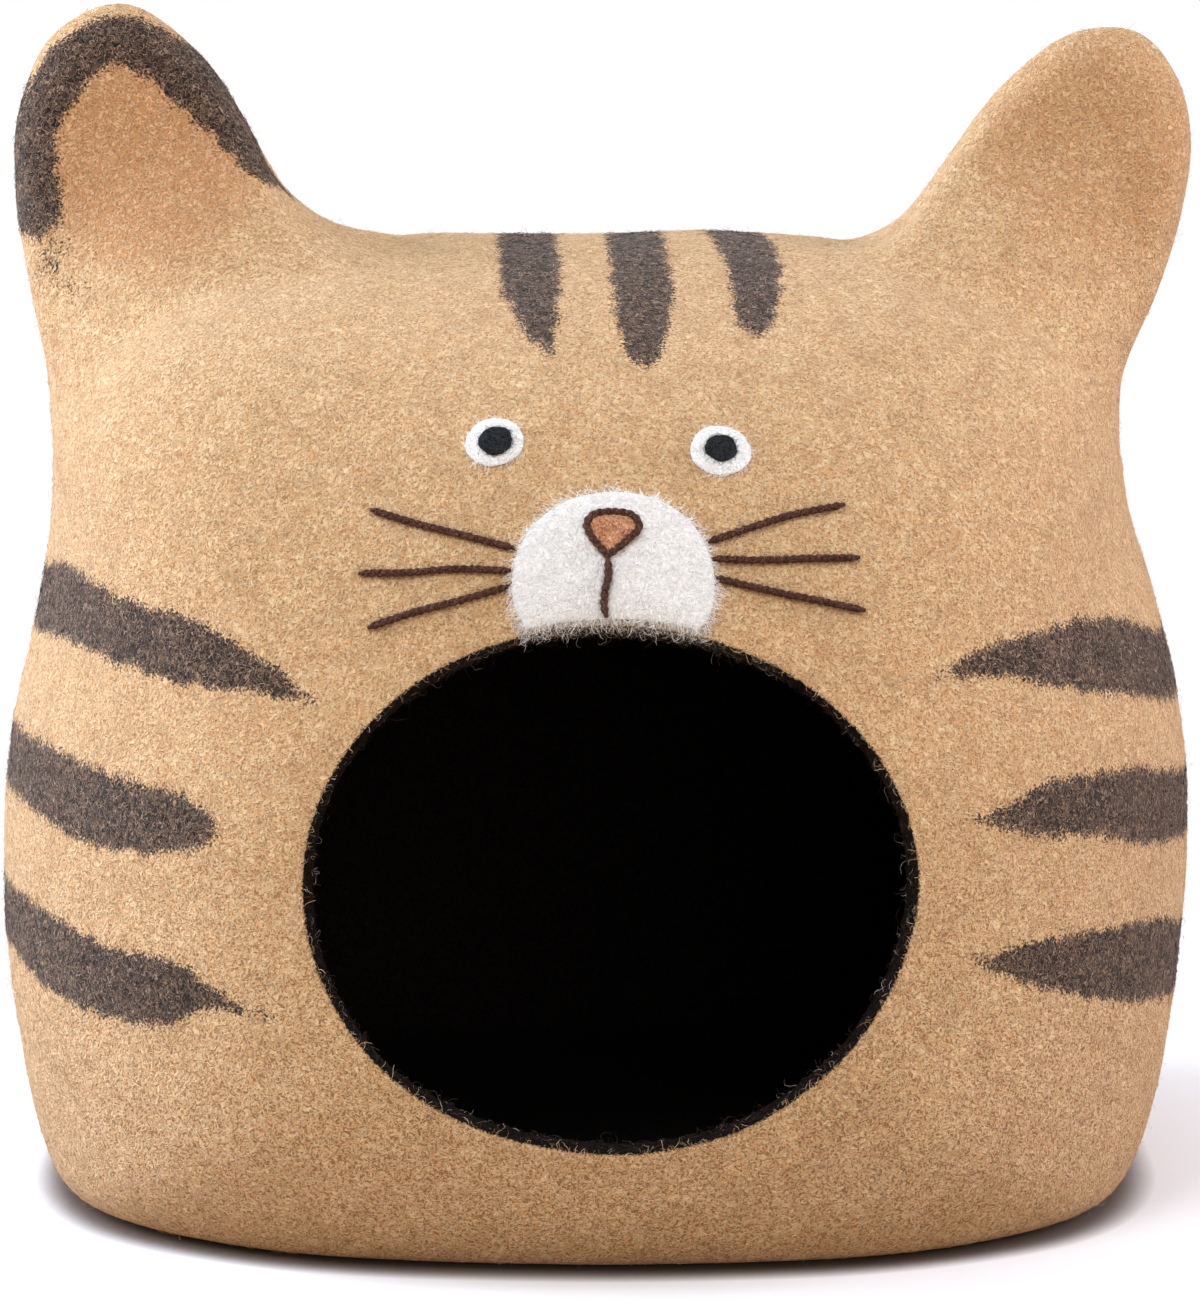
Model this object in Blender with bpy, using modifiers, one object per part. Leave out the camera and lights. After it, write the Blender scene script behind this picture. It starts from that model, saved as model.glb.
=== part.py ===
"""Felt cat cave: a one-piece shell of wet-felted wool in the shape of a cat's head, with a round
door for a mouth, and a face of felt patches and stitched yarn.

Metres, +Z up. The door faces -Y. The origin is on the floor, under the middle of the shell.
"""

import math
from collections import namedtuple

import bpy
from mathutils import Vector
from mathutils.bvhtree import BVHTree

# ---------------------------------------------------------------- driving sizes

WALL = 0.008  # felted wool, fulled to 8 mm
RIM_ROUNDING = 0.0024
FRONT_DEPTH = 0.200  # from the ridge plane, y = 0, to the furthest front
BACK_DEPTH = 0.197

Point = namedtuple("Point", "across height")

# The door, seen from the front. The shell's meridians run out from its middle.
DOOR_MIDDLE = Point(0.0050, 0.1318)
DOOR_HALF_WIDTH = 0.0998
DOOR_HALF_HEIGHT = 0.0855

# The body's outline in the ridge plane, without ears: half-widths at each height.
Section = namedtuple("Section", "height left right")
BODY_SECTIONS = (
    Section(-0.010, 0.1785, 0.1765),
    Section(0.000, 0.1885, 0.1862),
    Section(0.018, 0.1958, 0.1944),
    Section(0.045, 0.2038, 0.2032),
    Section(0.080, 0.2098, 0.2090),
    Section(0.120, 0.2110, 0.2110),
    Section(0.165, 0.2060, 0.2085),
    Section(0.205, 0.1965, 0.1980),
    Section(0.240, 0.1900, 0.1860),
    Section(0.268, 0.1880, 0.1815),
    Section(0.293, 0.1760, 0.1700),
    Section(0.313, 0.1500, 0.1450),
    Section(0.325, 0.1120, 0.1100),
    Section(0.3300, 0.0700, 0.0700),
)
CROWN = Point(0.010, 0.3315)
# The outline goes on under the floor, where the wool is pressed flat.
SAG = Section(-0.0330, 0.122, 0.120)
SAG_MIDDLE = Point(0.0, -0.0400)
FLOOR_LIFT = 0.0018
FLOOR_SOFTNESS = 0.0045

# How square a meridian is between the ridge and the furthest front: 2 is an ellipse.
SQUARE_UP = 2.15
SQUARE_SIDE = 2.25
SQUARE_DOWN = 3.7
# Above the door the outline turns into this ellipse towards the furthest front and back.
BROW_HALF_WIDTH = 0.208
BROW_HEIGHT = 0.199
BROW_SHARE = 0.6

# The outline of each ear, from its outer base over the tip to its inner base.
EAR_LEFT = (
    Point(-0.1890, 0.2580),
    Point(-0.1925, 0.2870),
    Point(-0.1995, 0.3150),
    Point(-0.2040, 0.3450),
    Point(-0.2025, 0.3745),
    Point(-0.1905, 0.3990),
    Point(-0.1660, 0.4110),
    Point(-0.1400, 0.3950),
    Point(-0.1240, 0.3740),
    Point(-0.1140, 0.3530),
    Point(-0.0970, 0.3375),
    Point(-0.0700, 0.3300),
)
EAR_RIGHT = (
    Point(0.1825, 0.2540),
    Point(0.1850, 0.2870),
    Point(0.1975, 0.3110),
    Point(0.2060, 0.3370),
    Point(0.2095, 0.3640),
    Point(0.2045, 0.3870),
    Point(0.1900, 0.4030),
    Point(0.1690, 0.4030),
    Point(0.1460, 0.3870),
    Point(0.1290, 0.3660),
    Point(0.1180, 0.3440),
    Point(0.1010, 0.3310),
    Point(0.0700, 0.3300),
)
EAR_REACH = 0.060  # from the ridge plane to where an ear has run out into the head
EAR_BLUNT = 1.8
EAR_FALL = 2.2
EAR_DISH = 0.007  # how deep each ear's front is cupped

# Stations round the outline, and rings from the ridge to the door and to the back.
SIDE_STATIONS = 20
EAR_STATIONS = 18
CROWN_STATIONS = 8
RING_SHARES = (0.022, 0.05, 0.09, 0.145, 0.215, 0.30, 0.40, 0.51, 0.63, 0.76, 0.885, 1.0)
BACK_SHARES = (0.03, 0.07, 0.125, 0.20, 0.30, 0.42, 0.56, 0.70, 0.85, 1.0)
BACK_CAP_SHARE = 0.48  # the back's middle is a grid, from this share of the outline inwards

FULLED_FROM = 0.035  # the back, further than this from the ridge, and all that is LOW, is evened out
LOW = 0.040
LOW_SHARE = 0.25
FINE = 24  # points that a smooth curve has between two of its own
MERIDIAN_STEPS = 160

# The face, laid on the shell. Its points are seen from the front.
GAP = 0.0004  # between two pieces that touch
YARN_RADIUS = 0.0012

MUZZLE_MIDDLE = Point(0.0061, 0.2268)
MUZZLE_HALF_WIDTH = 0.0327
MUZZLE_HEIGHT = 0.0293
MUZZLE_SQUARENESS = 2.15
MUZZLE_TUCK = 0.0022  # how far its sides come in on the way down to its corners
MUZZLE_ABOVE_DOOR = 0.0028
MUZZLE_THICKNESS = 0.0030

NOSE_OUTLINE = (
    Point(0.0042, 0.2358),
    Point(-0.0008, 0.2412),
    Point(-0.0026, 0.2450),
    Point(-0.0008, 0.2478),
    Point(0.0062, 0.2488),
    Point(0.0124, 0.2475),
    Point(0.0142, 0.2442),
    Point(0.0108, 0.2406),
)
NOSE_INSET = 0.69  # the nose's felt, as a share of the yarn's outline round it
NOSE_THICKNESS = 0.0014
MOUTH_LINE = (
    Point(0.0040, 0.2340),
    Point(0.0042, 0.2300),
    Point(0.0034, 0.2256),
    Point(0.0028, 0.2208),
)

Eye = namedtuple("Eye", "side across height white_radius pupil_radius pupil_across pupil_up")
EYES = (
    Eye("left", -0.0327, 0.2714, 0.0095, 0.0052, 0.0003, 0.0005),
    Eye("right", 0.0412, 0.2685, 0.0100, 0.0052, 0.0000, 0.0010),
)
EYE_THICKNESS = 0.0016
PUPIL_THICKNESS = 0.0012

WHISKERS = {
    "left_1": (
        Point(-0.0278, 0.2392),
        Point(-0.0450, 0.2432),
        Point(-0.0587, 0.2461),
        Point(-0.0730, 0.2490),
    ),
    "left_2": (
        Point(-0.0292, 0.2322),
        Point(-0.0450, 0.2332),
        Point(-0.0600, 0.2309),
        Point(-0.0764, 0.2301),
    ),
    "left_3": (
        Point(-0.0294, 0.2270),
        Point(-0.0450, 0.2224),
        Point(-0.0584, 0.2187),
        Point(-0.0733, 0.2144),
    ),
    "right_1": (
        Point(0.0384, 0.2418),
        Point(0.0513, 0.2452),
        Point(0.0624, 0.2483),
        Point(0.0815, 0.2515),
    ),
    "right_2": (
        Point(0.0404, 0.2357),
        Point(0.0530, 0.2351),
        Point(0.0690, 0.2353),
        Point(0.0852, 0.2356),
    ),
    "right_3": (
        Point(0.0410, 0.2293),
        Point(0.0579, 0.2254),
        Point(0.0715, 0.2226),
        Point(0.0876, 0.2188),
    ),
}
WHISKER_STEPS = 9
PATCH_RINGS = (0.0, 0.45, 0.80, 1.0)
PATCH_EDGE = 0.45  # a patch's thickness at its edge, as a share of the full one


# ---------------------------------------------------------------- curves


def smooth_curve(points):
    """A curve through the points that doesn't overshoot where they are unevenly spaced."""
    ends = [points[0] * 2 - points[1], *points, points[-1] * 2 - points[-2]]
    found = []
    for a, b, c, d in zip(ends, ends[1:], ends[2:], ends[3:]):
        t1 = (b - a).length ** 0.5
        t2 = t1 + (c - b).length ** 0.5
        t3 = t2 + (d - c).length ** 0.5
        for step in range(FINE):
            t = t1 + (t2 - t1) * step / FINE
            ab = a.lerp(b, t / t1)
            bc = b.lerp(c, (t - t1) / (t2 - t1))
            cd = c.lerp(d, (t - t2) / (t3 - t2))
            abc = ab.lerp(bc, t / t2)
            bcd = bc.lerp(cd, (t - t1) / (t3 - t1))
            found.append(abc.lerp(bcd, (t - t1) / (t2 - t1)))
    return found + [points[-1]]


def walk(line, shares):
    """The points at these shares of a line's length."""
    lengths = [0.0]
    for a, b in zip(line, line[1:]):
        lengths.append(lengths[-1] + (b - a).length)
    found, at = [], 0
    for share in shares:
        goal = share * lengths[-1]
        while at < len(line) - 2 and lengths[at + 1] < goal:
            at += 1
        span = lengths[at + 1] - lengths[at]
        found.append(line[at].lerp(line[at + 1], (goal - lengths[at]) / span if span else 0.0))
    return found


def evenly(line, count):
    """count + 1 points, evenly spaced along a line."""
    return walk(line, [step / count for step in range(count + 1)])


def between(line, start, end):
    """The part of a line from its point nearest start to its point nearest end."""
    first = min(range(len(line)), key=lambda k: (line[k] - start).length)
    last = min(range(len(line)), key=lambda k: (line[k] - end).length)
    return line[first : last + 1]


# ---------------------------------------------------------------- the shell's form


def body_outline():
    """The outline without ears, from the bottom's middle up the left side and down the right."""
    left = [Vector((-row.left, row.height)) for row in (SAG, *BODY_SECTIONS)]
    right = [Vector((row.right, row.height)) for row in (SAG, *BODY_SECTIONS)]
    bottom = Vector(SAG_MIDDLE)
    return smooth_curve([bottom, *left, Vector(CROWN), *reversed(right), bottom.copy()])


def stations():
    """Pairs of points round the outline: on the body without ears, and on the shell with them."""
    outline = body_outline()
    left_ear = smooth_curve([Vector(p) for p in EAR_LEFT])
    right_ear = smooth_curve([Vector(p) for p in reversed(EAR_RIGHT)])
    bottom = Vector(SAG_MIDDLE)
    half = len(outline) // 2
    left_side = between(outline[:half], bottom, left_ear[0])
    left_base = between(outline, left_ear[0], left_ear[-1])
    crown = between(outline, left_ear[-1], right_ear[0])
    right_base = between(outline, right_ear[0], right_ear[-1])
    right_side = between(outline[half:], right_ear[-1], bottom)
    pairs = []
    for base, ear, count in (
        (left_side, left_side, SIDE_STATIONS),
        (left_base, left_ear, EAR_STATIONS),
        (crown, crown, CROWN_STATIONS),
        (right_base, right_ear, EAR_STATIONS),
        (right_side, right_side, SIDE_STATIONS),
    ):
        pairs += list(zip(evenly(base, count), evenly(ear, count)))[:-1]
    return pairs


def squareness(direction):
    """How square the meridian is that leaves the door's middle in this direction."""
    up = direction.normalized().y
    end = SQUARE_UP if up > 0 else SQUARE_DOWN
    return SQUARE_SIDE + (end - SQUARE_SIDE) * up * up


def settle(height):
    """The height of a point once the wool is pressed on the floor, which rounds the base's edge."""
    lifted = (height + math.hypot(height, 2 * FLOOR_SOFTNESS)) / 2
    return max(0.0, lifted - FLOOR_LIFT)


def ear_share(y):
    """How much of an ear's height is left at this distance from the ridge plane."""
    inside = 1 - min(abs(y) / EAR_REACH, 1.0) ** EAR_BLUNT
    return inside**EAR_FALL


def unevenness(point):
    """Low swells of hand-felted wool, in metres, none at the floor."""
    x, y, z = point
    swell = math.sin(31 * x + 17 * z + 0.8) * math.sin(27 * y - 14 * x + 1.9)
    swell += 0.6 * math.sin(48 * z - 22 * x + 0.4) * math.sin(39 * x + 30 * y)
    return 0.0011 * swell * min(1.0, max(0.0, z / 0.03))


def smooth_step(share):
    share = min(1.0, max(0.0, share))
    return share * share * (3 - 2 * share)


def arm_at(arm, part):
    """What is left of a direction's arm where the outline has shrunk to this part of itself."""
    unit = arm.normalized()
    brow = 1 / math.hypot(unit.x / BROW_HALF_WIDTH, unit.y / BROW_HEIGHT)
    share = smooth_step((1 - part) / BROW_SHARE) * smooth_step(unit.y + 0.3)
    return unit * part * (arm.length + (brow - arm.length) * share)


def meridian(base, ridge, side, stop):
    """Points over the shell from the ridge towards the furthest front (side -1) or back (1).

    It ends where its distance from the door's middle, seen from the front, is down to stop.
    """
    middle = Vector(DOOR_MIDDLE)
    arm = base - middle
    power = 2 / squareness(arm)
    depth = FRONT_DEPTH if side < 0 else BACK_DEPTH
    cupped = (ridge - base).length / 0.09
    points = []
    for step in range(MERIDIAN_STEPS + 1):
        t = step / MERIDIAN_STEPS
        angle = math.pi / 2 * t * t * (3 - 2 * t)
        y = side * depth * math.sin(angle) ** power
        share = ear_share(y)
        flat = middle + arm_at(arm, math.cos(angle) ** power) + (ridge - base) * share
        if side < 0:
            y += EAR_DISH * cupped * math.sin(math.pi * min(1.0, share * 1.05)) ** 2
        point = Vector((flat.x, y, flat.y))
        reach = Vector((point.x, point.z)) - middle
        if reach.length < stop and step > MERIDIAN_STEPS // 4:
            last = Vector((points[-1].x, points[-1].z)) - middle
            points.append(points[-1].lerp(point, (last.length - stop) / (last - reach).length))
            break
        points.append(point)
    return points


def door_reach(direction):
    """How far the door's edge is from its middle in this direction, seen from the front."""
    unit = direction.normalized()
    return 1 / math.hypot(unit.x / DOOR_HALF_WIDTH, unit.y / DOOR_HALF_HEIGHT)


def swell_out(point):
    """The point moved by the unevenness, away from the middle of the cave, and settled."""
    away = (point - Vector((0, 0, 0.16))).normalized()
    moved = point + away * unevenness(point)
    return Vector((moved.x, moved.y, settle(moved.z)))


def shell_rings():
    """Closed rings of points, from the door's edge over the ridge to the back's cap."""
    middle = Vector(DOOR_MIDDLE)
    columns = []
    for base, ridge in stations():
        arm = base - middle
        front = meridian(base, ridge, -1, door_reach(arm))
        back = meridian(base, ridge, 1, arm_at(arm, BACK_CAP_SHARE).length)
        column = list(reversed(walk(front, RING_SHARES)))
        column += walk(back, (0.0, *BACK_SHARES))
        columns.append(column)
    return [list(ring) for ring in zip(*columns)]


def bearing(direction):
    return math.atan2(direction.x, direction.y)


def depth_behind(offset, arms):
    """How far behind the ridge plane the shell is at this offset from the door's middle.

    arms are the outline's points from that middle, in the order of their bearings.
    """
    goal = bearing(offset)
    after = next((k for k, arm in enumerate(arms) if bearing(arm) > goal), 0)
    one, two = arms[after - 1], arms[after]
    width = (bearing(two) - bearing(one)) % math.tau
    share = (goal - bearing(one)) % math.tau / width
    arm = Vector((offset.x, offset.y)).normalized() * (one.length * (1 - share) + two.length * share)
    low, high = 0.0, 1.0
    for _ in range(30):
        part = (low + high) / 2
        if arm_at(arm, part).length < offset.length:
            low = part
        else:
            high = part
    n = squareness(arm)
    return BACK_DEPTH * (1 - part**n) ** (1 / n)


def back_cap(ring):
    """A square grid of points that closes the last ring, whose points are its border.

    Seen from behind it's a Coons patch, and its depth is the meridians' own.
    """
    middle = Vector(DOOR_MIDDLE)
    arms = sorted((base - middle for base, _ in stations()), key=bearing)
    side = len(ring) // 4
    flat = [Vector((p.x, p.z)) for p in ring]
    bottom = flat[: side + 1]
    right = flat[side : 2 * side + 1]
    top = list(reversed(flat[2 * side : 3 * side + 1]))
    left = [flat[0], *reversed(flat[3 * side :])]
    grid = []
    for j in range(1, side):
        row = []
        for i in range(1, side):
            u, v = i / side, j / side
            place = bottom[i] * (1 - v) + top[i] * v + left[j] * (1 - u) + right[j] * u
            place -= (bottom[0] * (1 - u) + bottom[-1] * u) * (1 - v)
            place -= (top[0] * (1 - u) + top[-1] * u) * v
            row.append(Vector((place.x, depth_behind(place - middle, arms), place.y)))
        grid.append(row)
    return grid


def shell_faces(rings):
    """(points, faces) of the shell as an open surface, its faces pointing out."""
    around = len(rings[0])
    points = [swell_out(p) for ring in rings for p in ring]
    faces = []
    for k in range(len(rings) - 1):
        for j in range(around):
            a = k * around + j
            b = k * around + (j + 1) % around
            faces.append((a, b, b + around, a + around))
    side = around // 4
    last = (len(rings) - 1) * around
    grid = back_cap(rings[-1])
    start = len(points)
    points += [swell_out(p) for row in grid for p in row]

    def index(i, j):
        """The point in column i and row j of the cap, border included."""
        if j == 0:
            return last + i
        if i == side:
            return last + side + j
        if j == side:
            return last + 3 * side - i
        if i == 0:
            return last + (4 * side - j) % around
        return start + (j - 1) * (side - 1) + i - 1

    for j in range(side):
        for i in range(side):
            faces.append((index(i, j), index(i + 1, j), index(i + 1, j + 1), index(i, j + 1)))
    return points, faces


# ---------------------------------------------------------------- the face


class Face:
    """The front of the shell, to lay patches and yarn on."""

    def __init__(self, shell):
        self.tree = BVHTree.FromObject(shell, bpy.context.evaluated_depsgraph_get())

    def on_shell(self, place, lift=0.0):
        """The point that is lifted off the shell behind this place, seen from the front."""
        found, normal, _, _ = self.tree.ray_cast(Vector((place[0], -1.0, place[1])), Vector((0, 1, 0)))
        return found + normal * lift

    def disc(self, place, radius, lift, offset=(0.0, 0.0)):
        """A function that turns a share of the radius and an angle into a point of a round patch."""
        found, out, _, _ = self.tree.ray_cast(Vector((place[0], -1.0, place[1])), Vector((0, 1, 0)))
        across = Vector((0, 0, 1)).cross(out).normalized()
        up = out.cross(across)
        middle = found + across * offset[0] + up * offset[1]

        def at(share, angle):
            flat = middle + (across * math.cos(angle) + up * math.sin(angle)) * share * radius
            hit, normal, _, _ = self.tree.ray_cast(flat + out * 0.02, -out)
            return hit + normal * lift

        return at


def patch_mesh(name, at, around):
    """An open patch of rings round a middle point, with the weights that thin it at its edge."""
    points = [at(0.0, 0.0)]
    weights = [1.0]
    for share in PATCH_RINGS[1:]:
        points += [at(share, math.tau * k / around) for k in range(around)]
        weights += [math.sqrt(1 - share * share)] * around
    faces = [(0, 1 + k, 1 + (k + 1) % around) for k in range(around)]
    for ring in range(len(PATCH_RINGS) - 2):
        for k in range(around):
            a = 1 + ring * around + k
            b = 1 + ring * around + (k + 1) % around
            faces.append((a, a + around, b + around, b))
    middle = points[0].copy()
    mesh = bpy.data.meshes.new(name)
    mesh.from_pydata([p - middle for p in points], [], faces)
    mesh.shade_smooth()
    return mesh, middle, weights


def felt_patch(name, at, around, thickness, material):
    """A patch of felt, thinner towards its edge, whose underside is where at puts it."""
    mesh, middle, weights = patch_mesh(name, at, around)
    mesh.materials.append(material)
    patch = new_object(name, mesh)
    patch.location = middle
    full = patch.vertex_groups.new(name="full")
    for index, weight in enumerate(weights):
        full.add([index], weight, "REPLACE")
    wall = patch.modifiers.new("felt", "SOLIDIFY")
    wall.thickness = thickness
    wall.offset = 1
    wall.vertex_group = full.name
    wall.thickness_vertex_group = PATCH_EDGE
    return patch


def yarn(name, route, material, closed=False):
    """A stitched length of yarn through these points."""
    curve = bpy.data.curves.new(name, "CURVE")
    curve.dimensions = "3D"
    curve.bevel_depth = YARN_RADIUS
    curve.bevel_resolution = 2
    curve.use_fill_caps = not closed
    spline = curve.splines.new("POLY")
    spline.points.add(len(route) - 1)
    for point, place in zip(spline.points, route):
        point.co = (*(place - route[0]), 1.0)
    spline.use_cyclic_u = closed
    curve.materials.append(material)
    line = new_object(name, curve)
    line.location = route[0]
    return line


def door_top(across):
    """The height of the door's edge above its middle, at this distance across."""
    share = (across - DOOR_MIDDLE.across) / DOOR_HALF_WIDTH
    return DOOR_MIDDLE.height + DOOR_HALF_HEIGHT * math.sqrt(1 - share * share)


def muzzle_outline(angle):
    """The muzzle's edge: an arch over the door that tucks in at its corners, and follows the door."""
    x = math.copysign(abs(math.cos(angle)) ** (2 / MUZZLE_SQUARENESS), math.cos(angle))
    if angle <= math.pi:
        z = abs(math.sin(angle)) ** (2 / MUZZLE_SQUARENESS)
        return Point(
            MUZZLE_MIDDLE.across + MUZZLE_HALF_WIDTH * x,
            MUZZLE_MIDDLE.height + MUZZLE_HEIGHT * z,
        )
    down = min(1.0, -math.sin(angle) * 2.2)
    across = MUZZLE_MIDDLE.across + (MUZZLE_HALF_WIDTH - MUZZLE_TUCK * down * down) * x
    foot = door_top(across) + MUZZLE_ABOVE_DOOR
    return Point(across, MUZZLE_MIDDLE.height * (1 - down) + foot * down)


def build_muzzle(face, material):
    middle = Vector((MUZZLE_MIDDLE.across, MUZZLE_MIDDLE.height + MUZZLE_HEIGHT * 0.3))

    def at(share, angle):
        return face.on_shell(middle.lerp(Vector(muzzle_outline(angle)), share), GAP)

    felt_patch("muzzle", at, 40, MUZZLE_THICKNESS, material)


def build_nose(face, felt, wool):
    outline = smooth_curve([Vector(p) for p in (*NOSE_OUTLINE, NOSE_OUTLINE[0])])
    on_muzzle = MUZZLE_THICKNESS + 2 * GAP
    loop = evenly(outline, 22)[:-1]
    yarn("nose_outline", [face.on_shell(p, on_muzzle + YARN_RADIUS) for p in loop], wool, closed=True)
    middle = sum(loop, Vector((0, 0))) / len(loop)

    def at(share, angle):
        turn = 1 - (angle / math.tau) % 1.0
        edge = walk(outline, [turn])[0]
        return face.on_shell(middle.lerp(edge, share * NOSE_INSET), on_muzzle)

    felt_patch("nose", at, 18, NOSE_THICKNESS, felt)
    line = evenly(smooth_curve([Vector(p) for p in MOUTH_LINE]), 6)
    yarn("mouth_line", [face.on_shell(p, on_muzzle + YARN_RADIUS) for p in line], wool)


def build_eyes(face, white, black):
    for eye in EYES:
        place = (eye.across, eye.height)
        disc = face.disc(place, eye.white_radius, GAP)
        felt_patch("eye_" + eye.side, disc, 24, EYE_THICKNESS, white)
        on_eye = EYE_THICKNESS + 2 * GAP
        disc = face.disc(place, eye.pupil_radius, on_eye, (eye.pupil_across, eye.pupil_up))
        felt_patch("pupil_" + eye.side, disc, 16, PUPIL_THICKNESS, black)


def build_whiskers(face, wool):
    for name, places in WHISKERS.items():
        line = evenly(smooth_curve([Vector(p) for p in places]), WHISKER_STEPS)
        yarn("whisker_" + name, [face.on_shell(p, GAP + YARN_RADIUS) for p in line], wool)


# ---------------------------------------------------------------- scene set-up


def clear_scene():
    for obj in list(bpy.data.objects):
        bpy.data.objects.remove(obj, do_unlink=True)


def new_object(name, data):
    """An object in the part's collection, under the empty that stands for the whole cave."""
    obj = bpy.data.objects.new(name, data)
    collection = bpy.data.collections["cat_cave"]
    root = collection.objects.get("cat_cave_root")
    collection.objects.link(obj)
    obj.parent = root
    return obj


def finish(name, colour, roughness):
    """A plain material, its colour in linear light."""
    material = bpy.data.materials.new(name)
    material.use_nodes = True
    shader = material.node_tree.nodes["Principled BSDF"]
    shader.inputs["Base Color"].default_value = (*colour, 1.0)
    shader.inputs["Roughness"].default_value = roughness
    shader.inputs["Metallic"].default_value = 0.0
    return material


def build_shell(material):
    points, faces = shell_faces(shell_rings())
    mesh = bpy.data.meshes.new("cave_shell")
    mesh.from_pydata(points, [], faces)
    mesh.shade_smooth()
    mesh.materials.append(material)
    shell = new_object("cave_shell", mesh)
    fulled = shell.vertex_groups.new(name="fulled")
    for index, point in enumerate(points):
        away = point.y if point.z > LOW else abs(point.y)
        weight = smooth_step(away / FULLED_FROM - 1) * (1.0 if point.z > LOW else LOW_SHARE)
        fulled.add([index], weight, "REPLACE")
    even = shell.modifiers.new("even", "SMOOTH")
    even.factor = 0.5
    even.iterations = 6
    even.vertex_group = fulled.name
    wall = shell.modifiers.new("wall", "SOLIDIFY")
    wall.thickness = WALL
    wall.offset = -1
    wall.use_even_offset = True
    wall.use_quality_normals = True
    rim = shell.modifiers.new("rim", "BEVEL")
    rim.limit_method = "ANGLE"
    rim.angle_limit = math.radians(50)
    rim.width = RIM_ROUNDING
    rim.segments = 2
    return shell


def main():
    clear_scene()
    parts = bpy.data.collections.new("cat_cave")
    bpy.context.scene.collection.children.link(parts)
    new_object("cat_cave_root", None)
    tan = finish("felt_tan", (0.58, 0.38, 0.21), 0.95)
    white = finish("felt_white", (0.80, 0.78, 0.74), 0.95)
    terracotta = finish("felt_terracotta", (0.54, 0.20, 0.09), 0.90)
    black = finish("felt_black", (0.012, 0.012, 0.014), 0.85)
    brown = finish("yarn_brown", (0.045, 0.018, 0.014), 0.85)
    face = Face(build_shell(tan))
    build_muzzle(face, white)
    build_nose(face, terracotta, brown)
    build_eyes(face, white, black)
    build_whiskers(face, brown)


main()
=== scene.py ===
"""A felt cat cave for the camera: a wet-felted wool shell, a felt face and stitched yarn.

The shell is built again from the cave's own sizes, finer than the solids, and dressed with
stripes of dark wool, loose fibres and curls. Metres, +Z up, and the door faces -Y.
"""

import logging
import math
from collections.abc import Callable, Iterable, Sequence
from dataclasses import dataclass, field
from enum import Enum
from typing import NamedTuple

import bpy
import numpy as np
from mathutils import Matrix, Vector, noise
from mathutils.bvhtree import BVHTree


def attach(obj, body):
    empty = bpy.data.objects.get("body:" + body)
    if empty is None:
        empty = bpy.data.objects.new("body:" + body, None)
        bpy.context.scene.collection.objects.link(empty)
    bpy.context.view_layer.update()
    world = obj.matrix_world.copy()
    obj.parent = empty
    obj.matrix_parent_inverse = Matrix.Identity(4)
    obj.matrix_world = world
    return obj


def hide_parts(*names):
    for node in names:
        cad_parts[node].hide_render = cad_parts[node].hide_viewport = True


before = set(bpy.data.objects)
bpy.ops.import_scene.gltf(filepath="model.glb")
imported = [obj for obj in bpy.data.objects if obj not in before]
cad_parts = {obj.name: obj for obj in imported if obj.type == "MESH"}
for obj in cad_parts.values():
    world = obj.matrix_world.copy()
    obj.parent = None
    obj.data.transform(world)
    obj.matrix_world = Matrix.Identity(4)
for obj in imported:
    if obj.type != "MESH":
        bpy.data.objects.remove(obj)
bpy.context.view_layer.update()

log = logging.getLogger("felt_cat_cave")

MM = 0.001
BODY = "root"
SHELL = "felt_shell"

# Gives how thickly wool grows, from triangles' middles and their numbers.
Weight = Callable[[np.ndarray, np.ndarray], np.ndarray]
# Gives the way that wool lies, from its roots.
Comb = Callable[[np.ndarray], np.ndarray]
# Gives the shell's point and normal at a share of a patch's reach and an angle round it.
Layout = Callable[[float, float], tuple[Vector, Vector]]
Piece = bpy.types.Object
Socket = bpy.types.NodeSocket
Colour = tuple[float, float, float, float]


# ---------------------------------------------------------------- words for places and sizes


class Point(NamedTuple):
    """A place seen from the front, in metres."""

    across: float
    height: float


class Section(NamedTuple):
    """The outline's half-widths at one height, in metres."""

    height: float
    left: float
    right: float


class Wool(Enum):
    """The record's material slots."""

    TAN = "felt_tan"
    WHITE = "felt_white"
    TERRACOTTA = "felt_terracotta"
    BLACK = "felt_black"
    YARN = "yarn_brown"


# ---------------------------------------------------------------- curves


def smooth_curve(points: Sequence[Vector], fine: int = 24) -> list[Vector]:
    """A curve through the points that doesn't overshoot where they are unevenly spaced.

    Args:
        points: the places it goes through, of any dimension.
        fine: how many points it gets between two of its own.

    Returns:
        The curve's points, with both ends.
    """
    ends = [points[0] * 2 - points[1], *points, points[-1] * 2 - points[-2]]
    found = []
    for a, b, c, d in zip(ends, ends[1:], ends[2:], ends[3:]):
        t1 = (b - a).length ** 0.5
        t2 = t1 + (c - b).length ** 0.5
        t3 = t2 + (d - c).length ** 0.5
        for step in range(fine):
            t = t1 + (t2 - t1) * step / fine
            ab = a.lerp(b, t / t1)
            bc = b.lerp(c, (t - t1) / (t2 - t1))
            cd = c.lerp(d, (t - t2) / (t3 - t2))
            abc = ab.lerp(bc, t / t2)
            bcd = bc.lerp(cd, (t - t1) / (t3 - t1))
            found.append(abc.lerp(bcd, (t - t1) / (t2 - t1)))
    return found + [points[-1].copy()]


def walk(line: Sequence[Vector], shares: Iterable[float]) -> list[Vector]:
    """The points at these rising shares of a line's length.

    Args:
        line: the line's points.
        shares: from 0 at its start to 1 at its end.

    Returns:
        One point for each share.
    """
    lengths = [0.0]
    for a, b in zip(line, line[1:]):
        lengths.append(lengths[-1] + (b - a).length)
    found, at = [], 0
    for share in shares:
        goal = share * lengths[-1]
        while at < len(line) - 2 and lengths[at + 1] < goal:
            at += 1
        span = lengths[at + 1] - lengths[at]
        found.append(line[at].lerp(line[at + 1], (goal - lengths[at]) / span if span else 0.0))
    return found


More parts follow.
